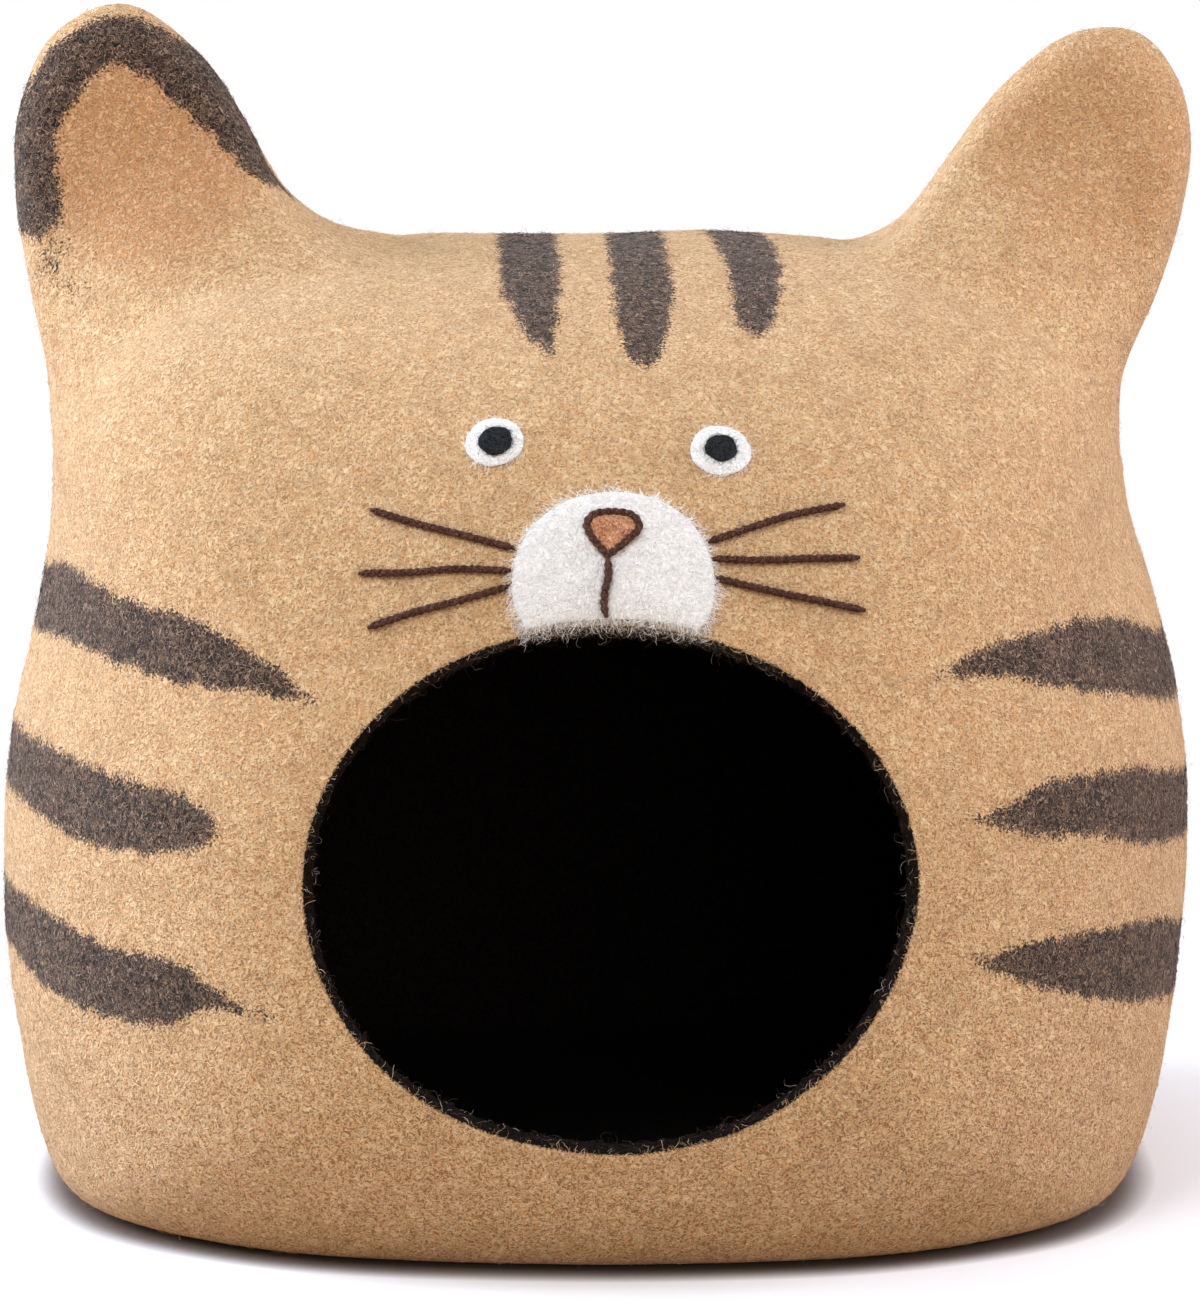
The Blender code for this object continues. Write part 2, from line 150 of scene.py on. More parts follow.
def evenly(line: Sequence[Vector], count: int) -> list[Vector]:
    """The count + 1 points that are evenly spaced along a line."""
    return walk(line, [step / count for step in range(count + 1)])


def between(line: Sequence[Vector], start: Vector, end: Vector) -> list[Vector]:
    """The part of a line from its point nearest start to its point nearest end.

    Args:
        line: the line's points.
        start: a place near where the part begins.
        end: a place near where it ends.

    Returns:
        The part's points.
    """
    first = min(range(len(line)), key=lambda k: (line[k] - start).length)
    last = min(range(len(line)), key=lambda k: (line[k] - end).length)
    return list(line[first : last + 1])


def smooth_step(share: float) -> float:
    """A soft rise from 0 to 1."""
    share = min(1.0, max(0.0, share))
    return share * share * (3 - 2 * share)


def finer(shares: Sequence[float], times: int) -> list[float]:
    """The same shares from 0, with times - 1 more between each two.

    Args:
        shares: rising shares, without the leading 0.
        times: how many steps each old step becomes.

    Returns:
        The finer shares, without the leading 0.
    """
    found = []
    for low, high in zip([0.0, *shares], shares):
        found += [low + (high - low) * (k + 1) / times for k in range(times)]
    return found


def bearing(direction: Vector) -> float:
    """The angle of a direction seen from the front, clockwise from straight up."""
    return math.atan2(direction.x, direction.y)


# ---------------------------------------------------------------- the shell's form


@dataclass(frozen=True)
class CaveForm:
    """The outside of the cave, from its outline, its door and its two ears, in metres."""

    wall: float = 0.008
    front_depth: float = 0.200
    back_depth: float = 0.197
    door_middle: Point = Point(0.0050, 0.1318)
    door_half_width: float = 0.0998
    door_half_height: float = 0.0855
    sections: tuple[Section, ...] = (
        Section(-0.010, 0.1785, 0.1765), Section(0.000, 0.1885, 0.1862),
        Section(0.018, 0.1958, 0.1944), Section(0.045, 0.2026, 0.2022),
        Section(0.080, 0.2084, 0.2076), Section(0.120, 0.2094, 0.2092),
        Section(0.165, 0.2046, 0.2068), Section(0.205, 0.1955, 0.1968),
        Section(0.240, 0.1900, 0.1860), Section(0.268, 0.1880, 0.1815),
        Section(0.293, 0.1760, 0.1700), Section(0.313, 0.1500, 0.1450),
        Section(0.325, 0.1120, 0.1100), Section(0.3300, 0.0700, 0.0700),
    )  # fmt: skip
    crown: Point = Point(0.010, 0.3315)
    sag: Section = Section(-0.0330, 0.122, 0.120)
    sag_middle: Point = Point(0.0, -0.0400)
    floor_lift: float = 0.0018
    floor_softness: float = 0.0045
    square_up: float = 2.15
    square_side: float = 2.25
    square_down: float = 3.7
    brow_half_width: float = 0.208
    brow_height: float = 0.199
    brow_share: float = 0.6
    ear_left: tuple[Point, ...] = (
        Point(-0.1890, 0.2580), Point(-0.1925, 0.2870), Point(-0.1995, 0.3150),
        Point(-0.2040, 0.3450), Point(-0.2025, 0.3745), Point(-0.1912, 0.4005),
        Point(-0.1660, 0.4130), Point(-0.1395, 0.3962), Point(-0.1240, 0.3740),
        Point(-0.1140, 0.3530), Point(-0.0970, 0.3375), Point(-0.0700, 0.3300),
    )  # fmt: skip
    ear_right: tuple[Point, ...] = (
        Point(0.1825, 0.2540), Point(0.1850, 0.2870), Point(0.1975, 0.3110), Point(0.2060, 0.3370),
        Point(0.2095, 0.3640), Point(0.2045, 0.3870), Point(0.1900, 0.4030), Point(0.1690, 0.4030),
        Point(0.1460, 0.3870), Point(0.1290, 0.3660), Point(0.1180, 0.3440), Point(0.1010, 0.3310),
        Point(0.0700, 0.3300),
    )  # fmt: skip
    ear_reach: float = 0.060
    ear_blunt: float = 1.8
    ear_fall: float = 2.2
    ear_dish: float = 0.007
    ear_height: float = 0.09
    side_stations: int = 84
    ear_stations: int = 78
    crown_stations: int = 36
    ring_shares: tuple[float, ...] = (
        0.022, 0.05, 0.09, 0.145, 0.215, 0.30, 0.40, 0.51, 0.63, 0.76, 0.885, 1.0,
    )  # fmt: skip
    back_shares: tuple[float, ...] = (0.03, 0.07, 0.125, 0.20, 0.30, 0.42, 0.56, 0.70, 0.85, 1.0)
    ring_times: int = 5
    back_times: int = 4
    back_cap_share: float = 0.48
    meridian_steps: int = 200
    fulled_from: float = 0.035
    low: float = 0.040
    low_share: float = 0.25
    hand_swell: float = 0.0011
    hand_lumps: float = 0.0006
    hand_lump_size: float = 0.022
    pressed_flat_below: float = 0.03
    middle_height: float = 0.16
    cap_halvings: int = 22

    @property
    def middle(self) -> Vector:
        """The door's middle, which the shell's meridians run out from."""
        return Vector(self.door_middle)

    def outline(self) -> list[Vector]:
        """The outline without ears, from the bottom's middle up the left and down the right."""
        rows = (self.sag, *self.sections)
        left = [Vector((-row.left, row.height)) for row in rows]
        right = [Vector((row.right, row.height)) for row in rows]
        bottom = Vector(self.sag_middle)
        return smooth_curve([bottom, *left, Vector(self.crown), *reversed(right), bottom.copy()])

    def stations(self) -> list[tuple[Vector, Vector]]:
        """Pairs of points round the outline: on the body without ears, and with them.

        Returns:
            The pairs, in the outline's order.
        """
        outline = self.outline()
        left_ear = smooth_curve([Vector(p) for p in self.ear_left])
        right_ear = smooth_curve([Vector(p) for p in reversed(self.ear_right)])
        bottom = Vector(self.sag_middle)
        half = len(outline) // 2
        left_side = between(outline[:half], bottom, left_ear[0])
        left_base = between(outline, left_ear[0], left_ear[-1])
        crown = between(outline, left_ear[-1], right_ear[0])
        right_base = between(outline, right_ear[0], right_ear[-1])
        right_side = between(outline[half:], right_ear[-1], bottom)
        pairs = []
        for base, ear, count in (
            (left_side, left_side, self.side_stations),
            (left_base, left_ear, self.ear_stations),
            (crown, crown, self.crown_stations),
            (right_base, right_ear, self.ear_stations),
            (right_side, right_side, self.side_stations),
        ):
            pairs += list(zip(evenly(base, count), evenly(ear, count)))[:-1]
        return pairs

    def squareness(self, direction: Vector) -> float:
        """How square the meridian is that leaves the door's middle in this direction.

        Args:
            direction: seen from the front.

        Returns:
            The power of its curve, where 2 is round.
        """
        up = direction.normalized().y
        end = self.square_up if up > 0 else self.square_down
        return self.square_side + (end - self.square_side) * up * up

    def settle(self, height: float) -> float:
        """The height of a point once the wool is pressed on the floor."""
        lifted = (height + math.hypot(height, 2 * self.floor_softness)) / 2
        return max(0.0, lifted - self.floor_lift)

    def ear_share(self, y: float) -> float:
        """How much of an ear's height is left at this distance from the ridge plane."""
        inside = 1 - min(abs(y) / self.ear_reach, 1.0) ** self.ear_blunt
        return inside**self.ear_fall

    def arm_at(self, arm: Vector, part: float) -> Vector:
        """What is left of a direction's arm where the outline has shrunk to this part.

        Args:
            arm: from the door's middle to the outline.
            part: from 0 at the middle to 1 at the outline.

        Returns:
            The shrunken arm.
        """
        unit = arm.normalized()
        brow = 1 / math.hypot(unit.x / self.brow_half_width, unit.y / self.brow_height)
        share = smooth_step((1 - part) / self.brow_share) * smooth_step(unit.y + 0.3)
        return unit * part * (arm.length + (brow - arm.length) * share)

    def door_reach(self, direction: Vector) -> float:
        """How far the door's edge is from its middle in this direction."""
        unit = direction.normalized()
        return 1 / math.hypot(unit.x / self.door_half_width, unit.y / self.door_half_height)

    def meridian(self, base: Vector, ridge: Vector, side: int, stop: float) -> list[Vector]:
        """Points over the shell from the ridge towards the furthest front or back.

        Args:
            base: the station on the body without ears.
            ridge: the same station with the ears.
            side: -1 for the front, 1 for the back.
            stop: the distance from the door's middle at which it ends, seen from the front.

        Returns:
            Its points.
        """
        middle = self.middle
        arm = base - middle
        power = 2 / self.squareness(arm)
        depth = self.front_depth if side < 0 else self.back_depth
        cupped = (ridge - base).length / self.ear_height
        points: list[Vector] = []
        for step in range(self.meridian_steps + 1):
            t = step / self.meridian_steps
            angle = math.pi / 2 * t * t * (3 - 2 * t)
            y = side * depth * math.sin(angle) ** power
            share = self.ear_share(y)
            flat = middle + self.arm_at(arm, math.cos(angle) ** power) + (ridge - base) * share
            if side < 0:
                y += self.ear_dish * cupped * math.sin(math.pi * min(1.0, share * 1.05)) ** 2
            point = Vector((flat.x, y, flat.y))
            reach = Vector((point.x, point.z)) - middle
            if reach.length < stop and step > self.meridian_steps // 4:
                last = Vector((points[-1].x, points[-1].z)) - middle
                share = (last.length - stop) / (last - reach).length
                points.append(points[-1].lerp(point, share))
                break
            points.append(point)
        return points

    def swell_out(self, point: Vector) -> Vector:
        """The point moved by the low swells and small lumps of hand felting, and settled.

        Args:
            point: a point of the plain form.

        Returns:
            The point of the handmade one.
        """
        x, y, z = point
        # Waves 13 to 45 cm long that cross at odd angles, so that no two sides swell alike.
        swell = math.sin(31 * x + 17 * z + 0.8) * math.sin(27 * y - 14 * x + 1.9)
        swell += 0.6 * math.sin(48 * z - 22 * x + 0.4) * math.sin(39 * x + 30 * y)
        lump = noise.noise(point / self.hand_lump_size) * self.hand_lumps
        away = (point - Vector((0, 0, self.middle_height))).normalized()
        free = min(1.0, max(0.0, z / self.pressed_flat_below))
        moved = point + away * (self.hand_swell * swell + lump) * free
        return Vector((moved.x, moved.y, self.settle(moved.z)))

    def depth_behind(self, offset: Vector, arms: list[Vector], angles: list[float]) -> float:
        """How far behind the ridge plane the shell is.

        Args:
            offset: from the door's middle, seen from the front.
            arms: the outline's points from that middle, in the order of their bearings.
            angles: those bearings.

        Returns:
            The depth in metres.
        """
        goal = bearing(offset)
        after = int(np.searchsorted(angles, goal)) % len(arms)
        one, two = arms[after - 1], arms[after]
        width = (angles[after] - angles[after - 1]) % math.tau
        share = (goal - angles[after - 1]) % math.tau / width
        length = one.length * (1 - share) + two.length * share
        arm = Vector((offset.x, offset.y)).normalized() * length
        low, high = 0.0, 1.0
        for _ in range(self.cap_halvings):
            part = (low + high) / 2
            if self.arm_at(arm, part).length < offset.length:
                low = part
            else:
                high = part
        n = self.squareness(arm)
        return self.back_depth * (1 - part**n) ** (1 / n)

    def back_cap(self, ring: list[Vector]) -> list[list[Vector]]:
        """A square grid of points inside the last ring, which is its border.

        Args:
            ring: the back's last ring, flattened on the ridge plane.

        Returns:
            The grid's rows, without its border.
        """
        middle = self.middle
        arms = sorted((base - middle for base, _ in self.stations()), key=bearing)
        angles = [bearing(arm) for arm in arms]
        side = len(ring) // 4
        flat = [Vector((p.x, p.z)) for p in ring]
        bottom = flat[: side + 1]
        right = flat[side : 2 * side + 1]
        top = list(reversed(flat[2 * side : 3 * side + 1]))
        left = [flat[0], *reversed(flat[3 * side :])]
        grid = []
        for j in range(1, side):
            row = []
            for i in range(1, side):
                u, v = i / side, j / side
                place = bottom[i] * (1 - v) + top[i] * v + left[j] * (1 - u) + right[j] * u
                place -= (bottom[0] * (1 - u) + bottom[-1] * u) * (1 - v)
                place -= (top[0] * (1 - u) + top[-1] * u) * v
                depth = self.depth_behind(place - middle, arms, angles)
                row.append(Vector((place.x, depth, place.y)))
            grid.append(row)
        return grid

    def surface(self) -> tuple[list[Vector], list[tuple[int, ...]], list[float]]:
        """The outside as an open surface with its faces pointing out.

        Returns:
            Its points, its faces, and each point's distance over the shell from the door.
        """
        columns = []
        for base, ridge in self.stations():
            arm = base - self.middle
            front = self.meridian(base, ridge, -1, self.door_reach(arm))
            back = self.meridian(base, ridge, 1, self.arm_at(arm, self.back_cap_share).length)
            column = list(reversed(walk(front, finer(self.ring_shares, self.ring_times))))
            column += walk(back, (0.0, *finer(self.back_shares, self.back_times)))
            columns.append([self.swell_out(p) for p in column])
        around = len(columns)
        rings = [list(ring) for ring in zip(*columns)]
        points = [p for ring in rings for p in ring]
        far = np.zeros((len(rings), around))
        for k in range(1, len(rings)):
            far[k] = [(b - a).length for a, b in zip(rings[k - 1], rings[k])]
        from_door = list(far.cumsum(axis=0).ravel())
        faces: list[tuple[int, ...]] = []
        for k in range(len(rings) - 1):
            for j in range(around):
                a, b = k * around + j, k * around + (j + 1) % around
                faces.append((a, b, b + around, a + around))
        side, last, start = around // 4, (len(rings) - 1) * around, len(points)
        grid = self.back_cap([Vector((p.x, 0, p.z)) for p in rings[-1]])
        points += [self.swell_out(p) for row in grid for p in row]
        from_door += [1.0] * (len(points) - start)

        def index(i: int, j: int) -> int:
            """The point in column i and row j of the cap, border included."""
            if j == 0:
                return last + i
            if i == side:
                return last + side + j
            if j == side:
                return last + 3 * side - i
            if i == 0:
                return last + (4 * side - j) % around
            return start + (j - 1) * (side - 1) + i - 1

        for j in range(side):
            for i in range(side):
                faces.append((index(i, j), index(i + 1, j), index(i + 1, j + 1), index(i, j + 1)))
        return points, faces, from_door


# ---------------------------------------------------------------- stripes of dark wool


class Round(NamedTuple):
    """A station of a side stripe: its bearing about the cave's middle, from the front."""

    degrees: float
    height_mm: float
    half_width_mm: float


class Over(NamedTuple):
    """A station of a stripe over the crown, seen from above."""

    across_mm: float
    back_mm: float
    half_width_mm: float


class Facing(NamedTuple):
    """A station of a stripe on the ear's face, seen from the front."""

    across_mm: float
    height_mm: float
    half_width_mm: float


@dataclass(frozen=True)
class Stripes:
    """The dark wool laid into the tan, each stripe as stations along its middle."""

    side: tuple[tuple[Round, ...], ...] = (
        (
            Round(-27.6, 190.0, 0.6), Round(-30.0, 192.6, 2.6), Round(-33.0, 195.6, 4.8),
            Round(-38.0, 199.8, 8.2), Round(-43.0, 203.0, 10.6), Round(-51.0, 205.5, 10.4),
            Round(-60.0, 209.0, 11.2), Round(-68.0, 210.0, 12.2), Round(-77.0, 207.0, 11.5),
            Round(-90.0, 204.0, 10.5), Round(-104.0, 203.0, 8.0), Round(-118.0, 204.0, 3.0),
            Round(-123.0, 204.0, 0.3),
        ),
        (
            Round(-36.5, 145.5, 1.5), Round(-38.5, 146.0, 6.5), Round(-41.5, 146.5, 9.6),
            Round(-47.0, 146.5, 11.4), Round(-52.0, 146.7, 12.2), Round(-58.0, 149.0, 12.6),
            Round(-66.0, 151.5, 11.6), Round(-77.0, 152.0, 10.8), Round(-90.0, 150.0, 10.5),
            Round(-105.0, 149.0, 8.0), Round(-119.0, 150.0, 3.2), Round(-124.0, 150.0, 0.3),
        ),
        (
            Round(-30.2, 87.0, 0.6), Round(-34.5, 89.4, 1.9), Round(-38.0, 92.0, 5.0),
            Round(-41.0, 91.0, 10.4), Round(-46.5, 90.0, 11.6), Round(-54.0, 92.0, 12.2),
            Round(-62.0, 96.0, 12.2), Round(-71.0, 99.0, 10.5), Round(-80.0, 99.0, 11.0),
            Round(-93.0, 97.0, 10.5), Round(-106.0, 96.0, 8.0), Round(-119.0, 97.0, 3.0),
            Round(-124.0, 97.0, 0.3),
        ),
        (
            Round(33.6, 197.0, 0.3), Round(38.0, 199.5, 3.2), Round(41.4, 200.5, 6.2),
            Round(47.4, 199.0, 9.2), Round(53.0, 197.5, 12.2), Round(58.0, 195.5, 12.9),
            Round(64.0, 192.0, 13.4), Round(72.0, 186.0, 12.2), Round(84.0, 183.0, 11.5),
            Round(98.0, 183.0, 9.0), Round(112.0, 185.0, 3.5), Round(118.0, 186.0, 0.3),
        ),
        (
            Round(35.4, 150.0, 0.3), Round(38.0, 149.5, 2.0), Round(40.5, 149.3, 4.2),
            Round(43.5, 150.5, 8.0), Round(48.0, 150.0, 9.6), Round(52.5, 149.0, 10.6),
            Round(58.0, 145.5, 12.6), Round(64.0, 142.0, 12.7), Round(72.0, 138.0, 11.6),
            Round(84.0, 135.0, 11.0), Round(98.0, 134.0, 9.0), Round(112.0, 135.0, 3.5),
            Round(118.0, 136.0, 0.3),
        ),
        (
            Round(35.4, 104.5, 0.3), Round(38.0, 101.5, 2.8), Round(42.0, 100.5, 7.2),
            Round(46.0, 98.5, 9.2), Round(51.0, 95.5, 11.6), Round(57.0, 92.5, 13.2),
            Round(63.5, 89.5, 13.4), Round(72.0, 84.5, 12.8), Round(84.0, 81.0, 11.5),
            Round(98.0, 80.0, 9.0), Round(112.0, 81.0, 3.5), Round(118.0, 82.0, 0.3),
        ),
    )  # fmt: skip
    crown: tuple[tuple[Over, ...], ...] = (
        (
            Over(-15.5, -117.5, 0.3), Over(-16.5, -112.0, 2.8), Over(-18.0, -106.0, 4.6),
            Over(-20.3, -92.0, 7.8), Over(-22.0, -65.0, 10.2), Over(-23.5, -30.0, 10.2),
            Over(-24.0, 5.0, 9.6), Over(-25.0, 35.0, 7.5), Over(-26.0, 62.0, 3.2),
            Over(-26.5, 72.0, 0.3),
        ),
        (
            Over(16.2, -121.0, 0.6), Over(16.2, -116.5, 4.2), Over(16.3, -110.0, 6.6),
            Over(16.6, -92.0, 9.6), Over(16.0, -68.0, 10.0), Over(14.4, -30.0, 9.6),
            Over(13.6, 5.0, 9.6), Over(13.0, 38.0, 8.0), Over(12.5, 70.0, 3.4),
            Over(12.5, 82.0, 0.3),
        ),
        (
            Over(52.8, -102.5, 0.6), Over(53.8, -98.0, 4.4), Over(54.0, -88.0, 7.2),
            Over(54.5, -68.0, 8.6), Over(53.0, -41.0, 9.8), Over(49.2, -8.0, 9.8),
            Over(47.5, 20.0, 8.6), Over(46.5, 45.0, 5.0), Over(46.0, 62.0, 0.3),
        ),
    )  # fmt: skip
    ear: tuple[Facing, ...] = (
        Facing(-193.0, 337.0, 6.8), Facing(-195.0, 342.0, 10.0), Facing(-197.0, 352.0, 10.0),
        Facing(-197.0, 362.0, 10.2), Facing(-194.2, 374.0, 10.3), Facing(-185.2, 387.8, 9.8),
        Facing(-173.6, 397.3, 9.2), Facing(-161.0, 398.6, 9.2), Facing(-149.5, 392.6, 10.0),
        Facing(-138.8, 382.8, 9.4), Facing(-128.6, 371.8, 8.2), Facing(-119.2, 359.6, 7.2),
        Facing(-115.0, 352.6, 5.2), Facing(-110.0, 347.8, 3.8), Facing(-105.0, 344.8, 1.0),
    )  # fmt: skip
    ear_edges: tuple[tuple[Facing, ...], ...] = (
        (
            Facing(-197.5, 335.0, 5.0), Facing(-201.5, 340.0, 8.5), Facing(-204.4, 350.0, 9.8),
            Facing(-204.6, 361.0, 9.5), Facing(-203.2, 371.0, 8.0), Facing(-200.5, 379.0, 5.0),
            Facing(-197.0, 385.0, 1.0),
        ),
        (
            Facing(-148.5, 395.5, 5.0), Facing(-141.5, 393.5, 7.5), Facing(-131.0, 383.5, 9.8),
            Facing(-123.0, 371.5, 10.5), Facing(-116.0, 358.0, 10.5), Facing(-110.0, 350.5, 8.0),
            Facing(-104.5, 346.0, 1.5),
        ),
    )  # fmt: skip

    flecks: Point = Point(-0.1875, 0.3215)
    fleck_reach: Point = Point(0.0105, 0.0140)
    fleck_at_middle_mm: float = -0.6
    fleck_fall_mm: float = -1.7
    face_ends: float = 0.02
    far_outside_mm: float = -99.0
    finder_reach: float = 0.06

    def flecked(self, points: np.ndarray) -> np.ndarray:
        """The few flecks of dark wool under the ear's band, as an inside that is just too low.

        Args:
            points: rows of x, y and z, in metres.

        Returns:
            Millimetres inside a stripe, always less than 0.
        """
        x = (points[:, 0] - self.flecks.across) / self.fleck_reach.across
        z = (points[:, 2] - self.flecks.height) / self.fleck_reach.height
        inside = self.fleck_at_middle_mm + self.fleck_fall_mm * np.hypot(x, z)
        return np.where(points[:, 1] < self.face_ends, inside, self.far_outside_mm)

    def spines(self, ground: "Ground") -> list[np.ndarray]:
        """Lays each stripe's middle on the shell.

        Args:
            ground: the shell's outside.

        Returns:
            For each stripe, rows of x, y, z and half-width, in metres.
        """
        found = []
        for stripes, place in (
            (self.side, lambda p: ground.from_bearing(math.radians(p.x), p.y * MM)),
            (self.crown, lambda p: ground.from_above(p.x * MM, p.y * MM)),
            ((self.ear, *self.ear_edges), lambda p: ground.from_front(p.x * MM, p.y * MM)),
        ):
            found += [self.laid([Vector(s) for s in stripe], place) for stripe in stripes]
        return found

    @staticmethod
    def laid(stations: list[Vector], place: Callable[[Vector], Vector]) -> np.ndarray:
        """A stripe's stations, joined by a smooth curve and placed on the shell.

        Args:
            stations: two numbers that say where, then the half-width in millimetres.
            place: turns a station into a point of the shell.

        Returns:
            Rows of x, y, z and half-width, in metres.
        """
        return np.array([(*place(p), p.z * MM) for p in smooth_curve(stations, 6)])

    def inside(self, points: np.ndarray, spines: list[np.ndarray]) -> np.ndarray:
        """How far inside the nearest stripe each point is.

        Args:
            points: rows of x, y and z, in metres.
            spines: the stripes' middles and half-widths.

        Returns:
            Millimetres from the stripe's edge, less than 0 outside it.
        """
        best = np.full(len(points), 1.0)
        for spine in spines:
            box = np.abs(points[:, None, :] - spine[None, ::8, :3]).max(axis=2).min(axis=1)
            near = np.flatnonzero(box < self.finder_reach)
            place = points[near]
            gap = np.full(len(near), 1.0)
            for a, b in zip(spine, spine[1:]):
                step = b[:3] - a[:3]
                t = ((place - a[:3]) @ step / max(step @ step, 1e-12)).clip(0, 1)
                away = np.linalg.norm(place - a[:3] - t[:, None] * step, axis=1)
                gap = np.minimum(gap, away - (a[3] + (b[3] - a[3]) * t))
            best[near] = np.minimum(best[near], gap)
        return -best / MM


class Ground:
    """A finished felt surface, to lay pieces on and to root fibres in."""

    def __init__(self, obj: Piece) -> None:
        """Reads the object's mesh as it stands."""

        def read(items: Sequence, name: str, width: int, kind: type) -> np.ndarray:
            """One property of all the items, as rows of this width."""
            found = np.empty(len(items) * width, kind)
            items.foreach_get(name, found)
            return found.reshape(-1, width) if width > 1 else found

        mesh = obj.data
        mesh.calc_loop_triangles()
        self.points = read(mesh.vertices, "co", 3, np.float32).astype(np.float64)
        self.normals = read(mesh.vertices, "normal", 3, np.float32).astype(np.float64)
        self.triangles = read(mesh.loop_triangles, "vertices", 3, np.int32)
        self.slots = read(mesh.loop_triangles, "material_index", 1, np.int32)
        self.values: dict[str, np.ndarray] = {}
        for layer in mesh.attributes:
            if layer.data_type == "FLOAT" and layer.domain == "POINT":
                values = read(layer.data, "value", 1, np.float32)
                self.values[layer.name] = values.astype(np.float64)
        self.tree = BVHTree.FromPolygons(
            [Vector(p) for p in self.points], [tuple(int(i) for i in t) for t in self.triangles]
        )

    def hit(self, start: Vector, way: Vector) -> tuple[Vector, Vector]:
        """Where a ray from start meets the surface, and the surface's normal there.

        Args:
            start: where the ray leaves.
            way: the way that it goes.

        Returns:
            The point and the normal.
        """
        found, normal, _, _ = self.tree.ray_cast(start, way)
        if found is None:
            raise ValueError(f"nothing behind {tuple(start)}")
        return found, normal

    def from_front(self, across: float, height: float) -> Vector:
        """The surface's point at this place seen from the front, or the nearest to it."""
        found = self.tree.ray_cast(Vector((across, -1.0, height)), Vector((0, 1, 0)))[0]
        return found or self.tree.find_nearest(Vector((across, 0.0, height)))[0]

    def from_above(self, across: float, back: float) -> Vector:
        """The surface's point at this place, seen from above."""
        return self.hit(Vector((across, back, 1.0)), Vector((0, 0, -1)))[0]

    def from_bearing(self, angle: float, height: float) -> Vector:
        """The surface's point at this height, seen from this bearing about the middle."""
        out = Vector((math.sin(angle), -math.cos(angle), 0.0))
        return self.hit(out + Vector((0, 0, height)), -out)[0]

    def smooth_normal(self, place: Vector) -> Vector:
        """The surface's normal nearest a place, evened out over its triangle."""
        _, _, index, _ = self.tree.find_nearest(place)
        return Vector(self.normals[self.triangles[index]].mean(axis=0)).normalized()


# ---------------------------------------------------------------- colours and finishes


def linear(code: str) -> Colour:
    """An sRGB hex colour in linear light, with alpha 1.

    Args:
        code: a # and six hex digits.

    Returns:
        Red, green, blue and alpha.
    """
    parts = [int(code[k : k + 2], 16) / 255 for k in (1, 3, 5)]
    red, green, blue = (c / 12.92 if c <= 0.04045 else ((c + 0.055) / 1.055) ** 2.4 for c in parts)
    return red, green, blue, 1.0


def add_node(
    tree: bpy.types.NodeTree,
    kind: str,
    inputs: dict[str | int, object] | None = None,
    **settings: object,
) -> bpy.types.Node:
    """Adds a node with its settings, values and links.

    Args:
        tree: the node tree that it goes into.
        kind: its type, without the leading ShaderNode.
        inputs: for each input, by name or number, a value or the socket that feeds it.
        settings: the node's own properties.

    Returns:
        The node.
    """
    node = tree.nodes.new("ShaderNode" + kind)
    for name, value in settings.items():
        setattr(node, name, value)
    for key, value in (inputs or {}).items():
        if isinstance(value, Socket):
            tree.links.new(value, node.inputs[key])
        else:
            node.inputs[key].default_value = value
    return node


def blank_material(name: str) -> tuple[bpy.types.Material, bpy.types.NodeTree, bpy.types.Node]:
    """A material with only its output.

    Args:
        name: the material's name.

    Returns:
        The material, its node tree and the output node.
    """
    material = bpy.data.materials.new(name)
    material.use_nodes = True
    tree = material.node_tree
    tree.nodes.clear()
    return material, tree, add_node(tree, "OutputMaterial")


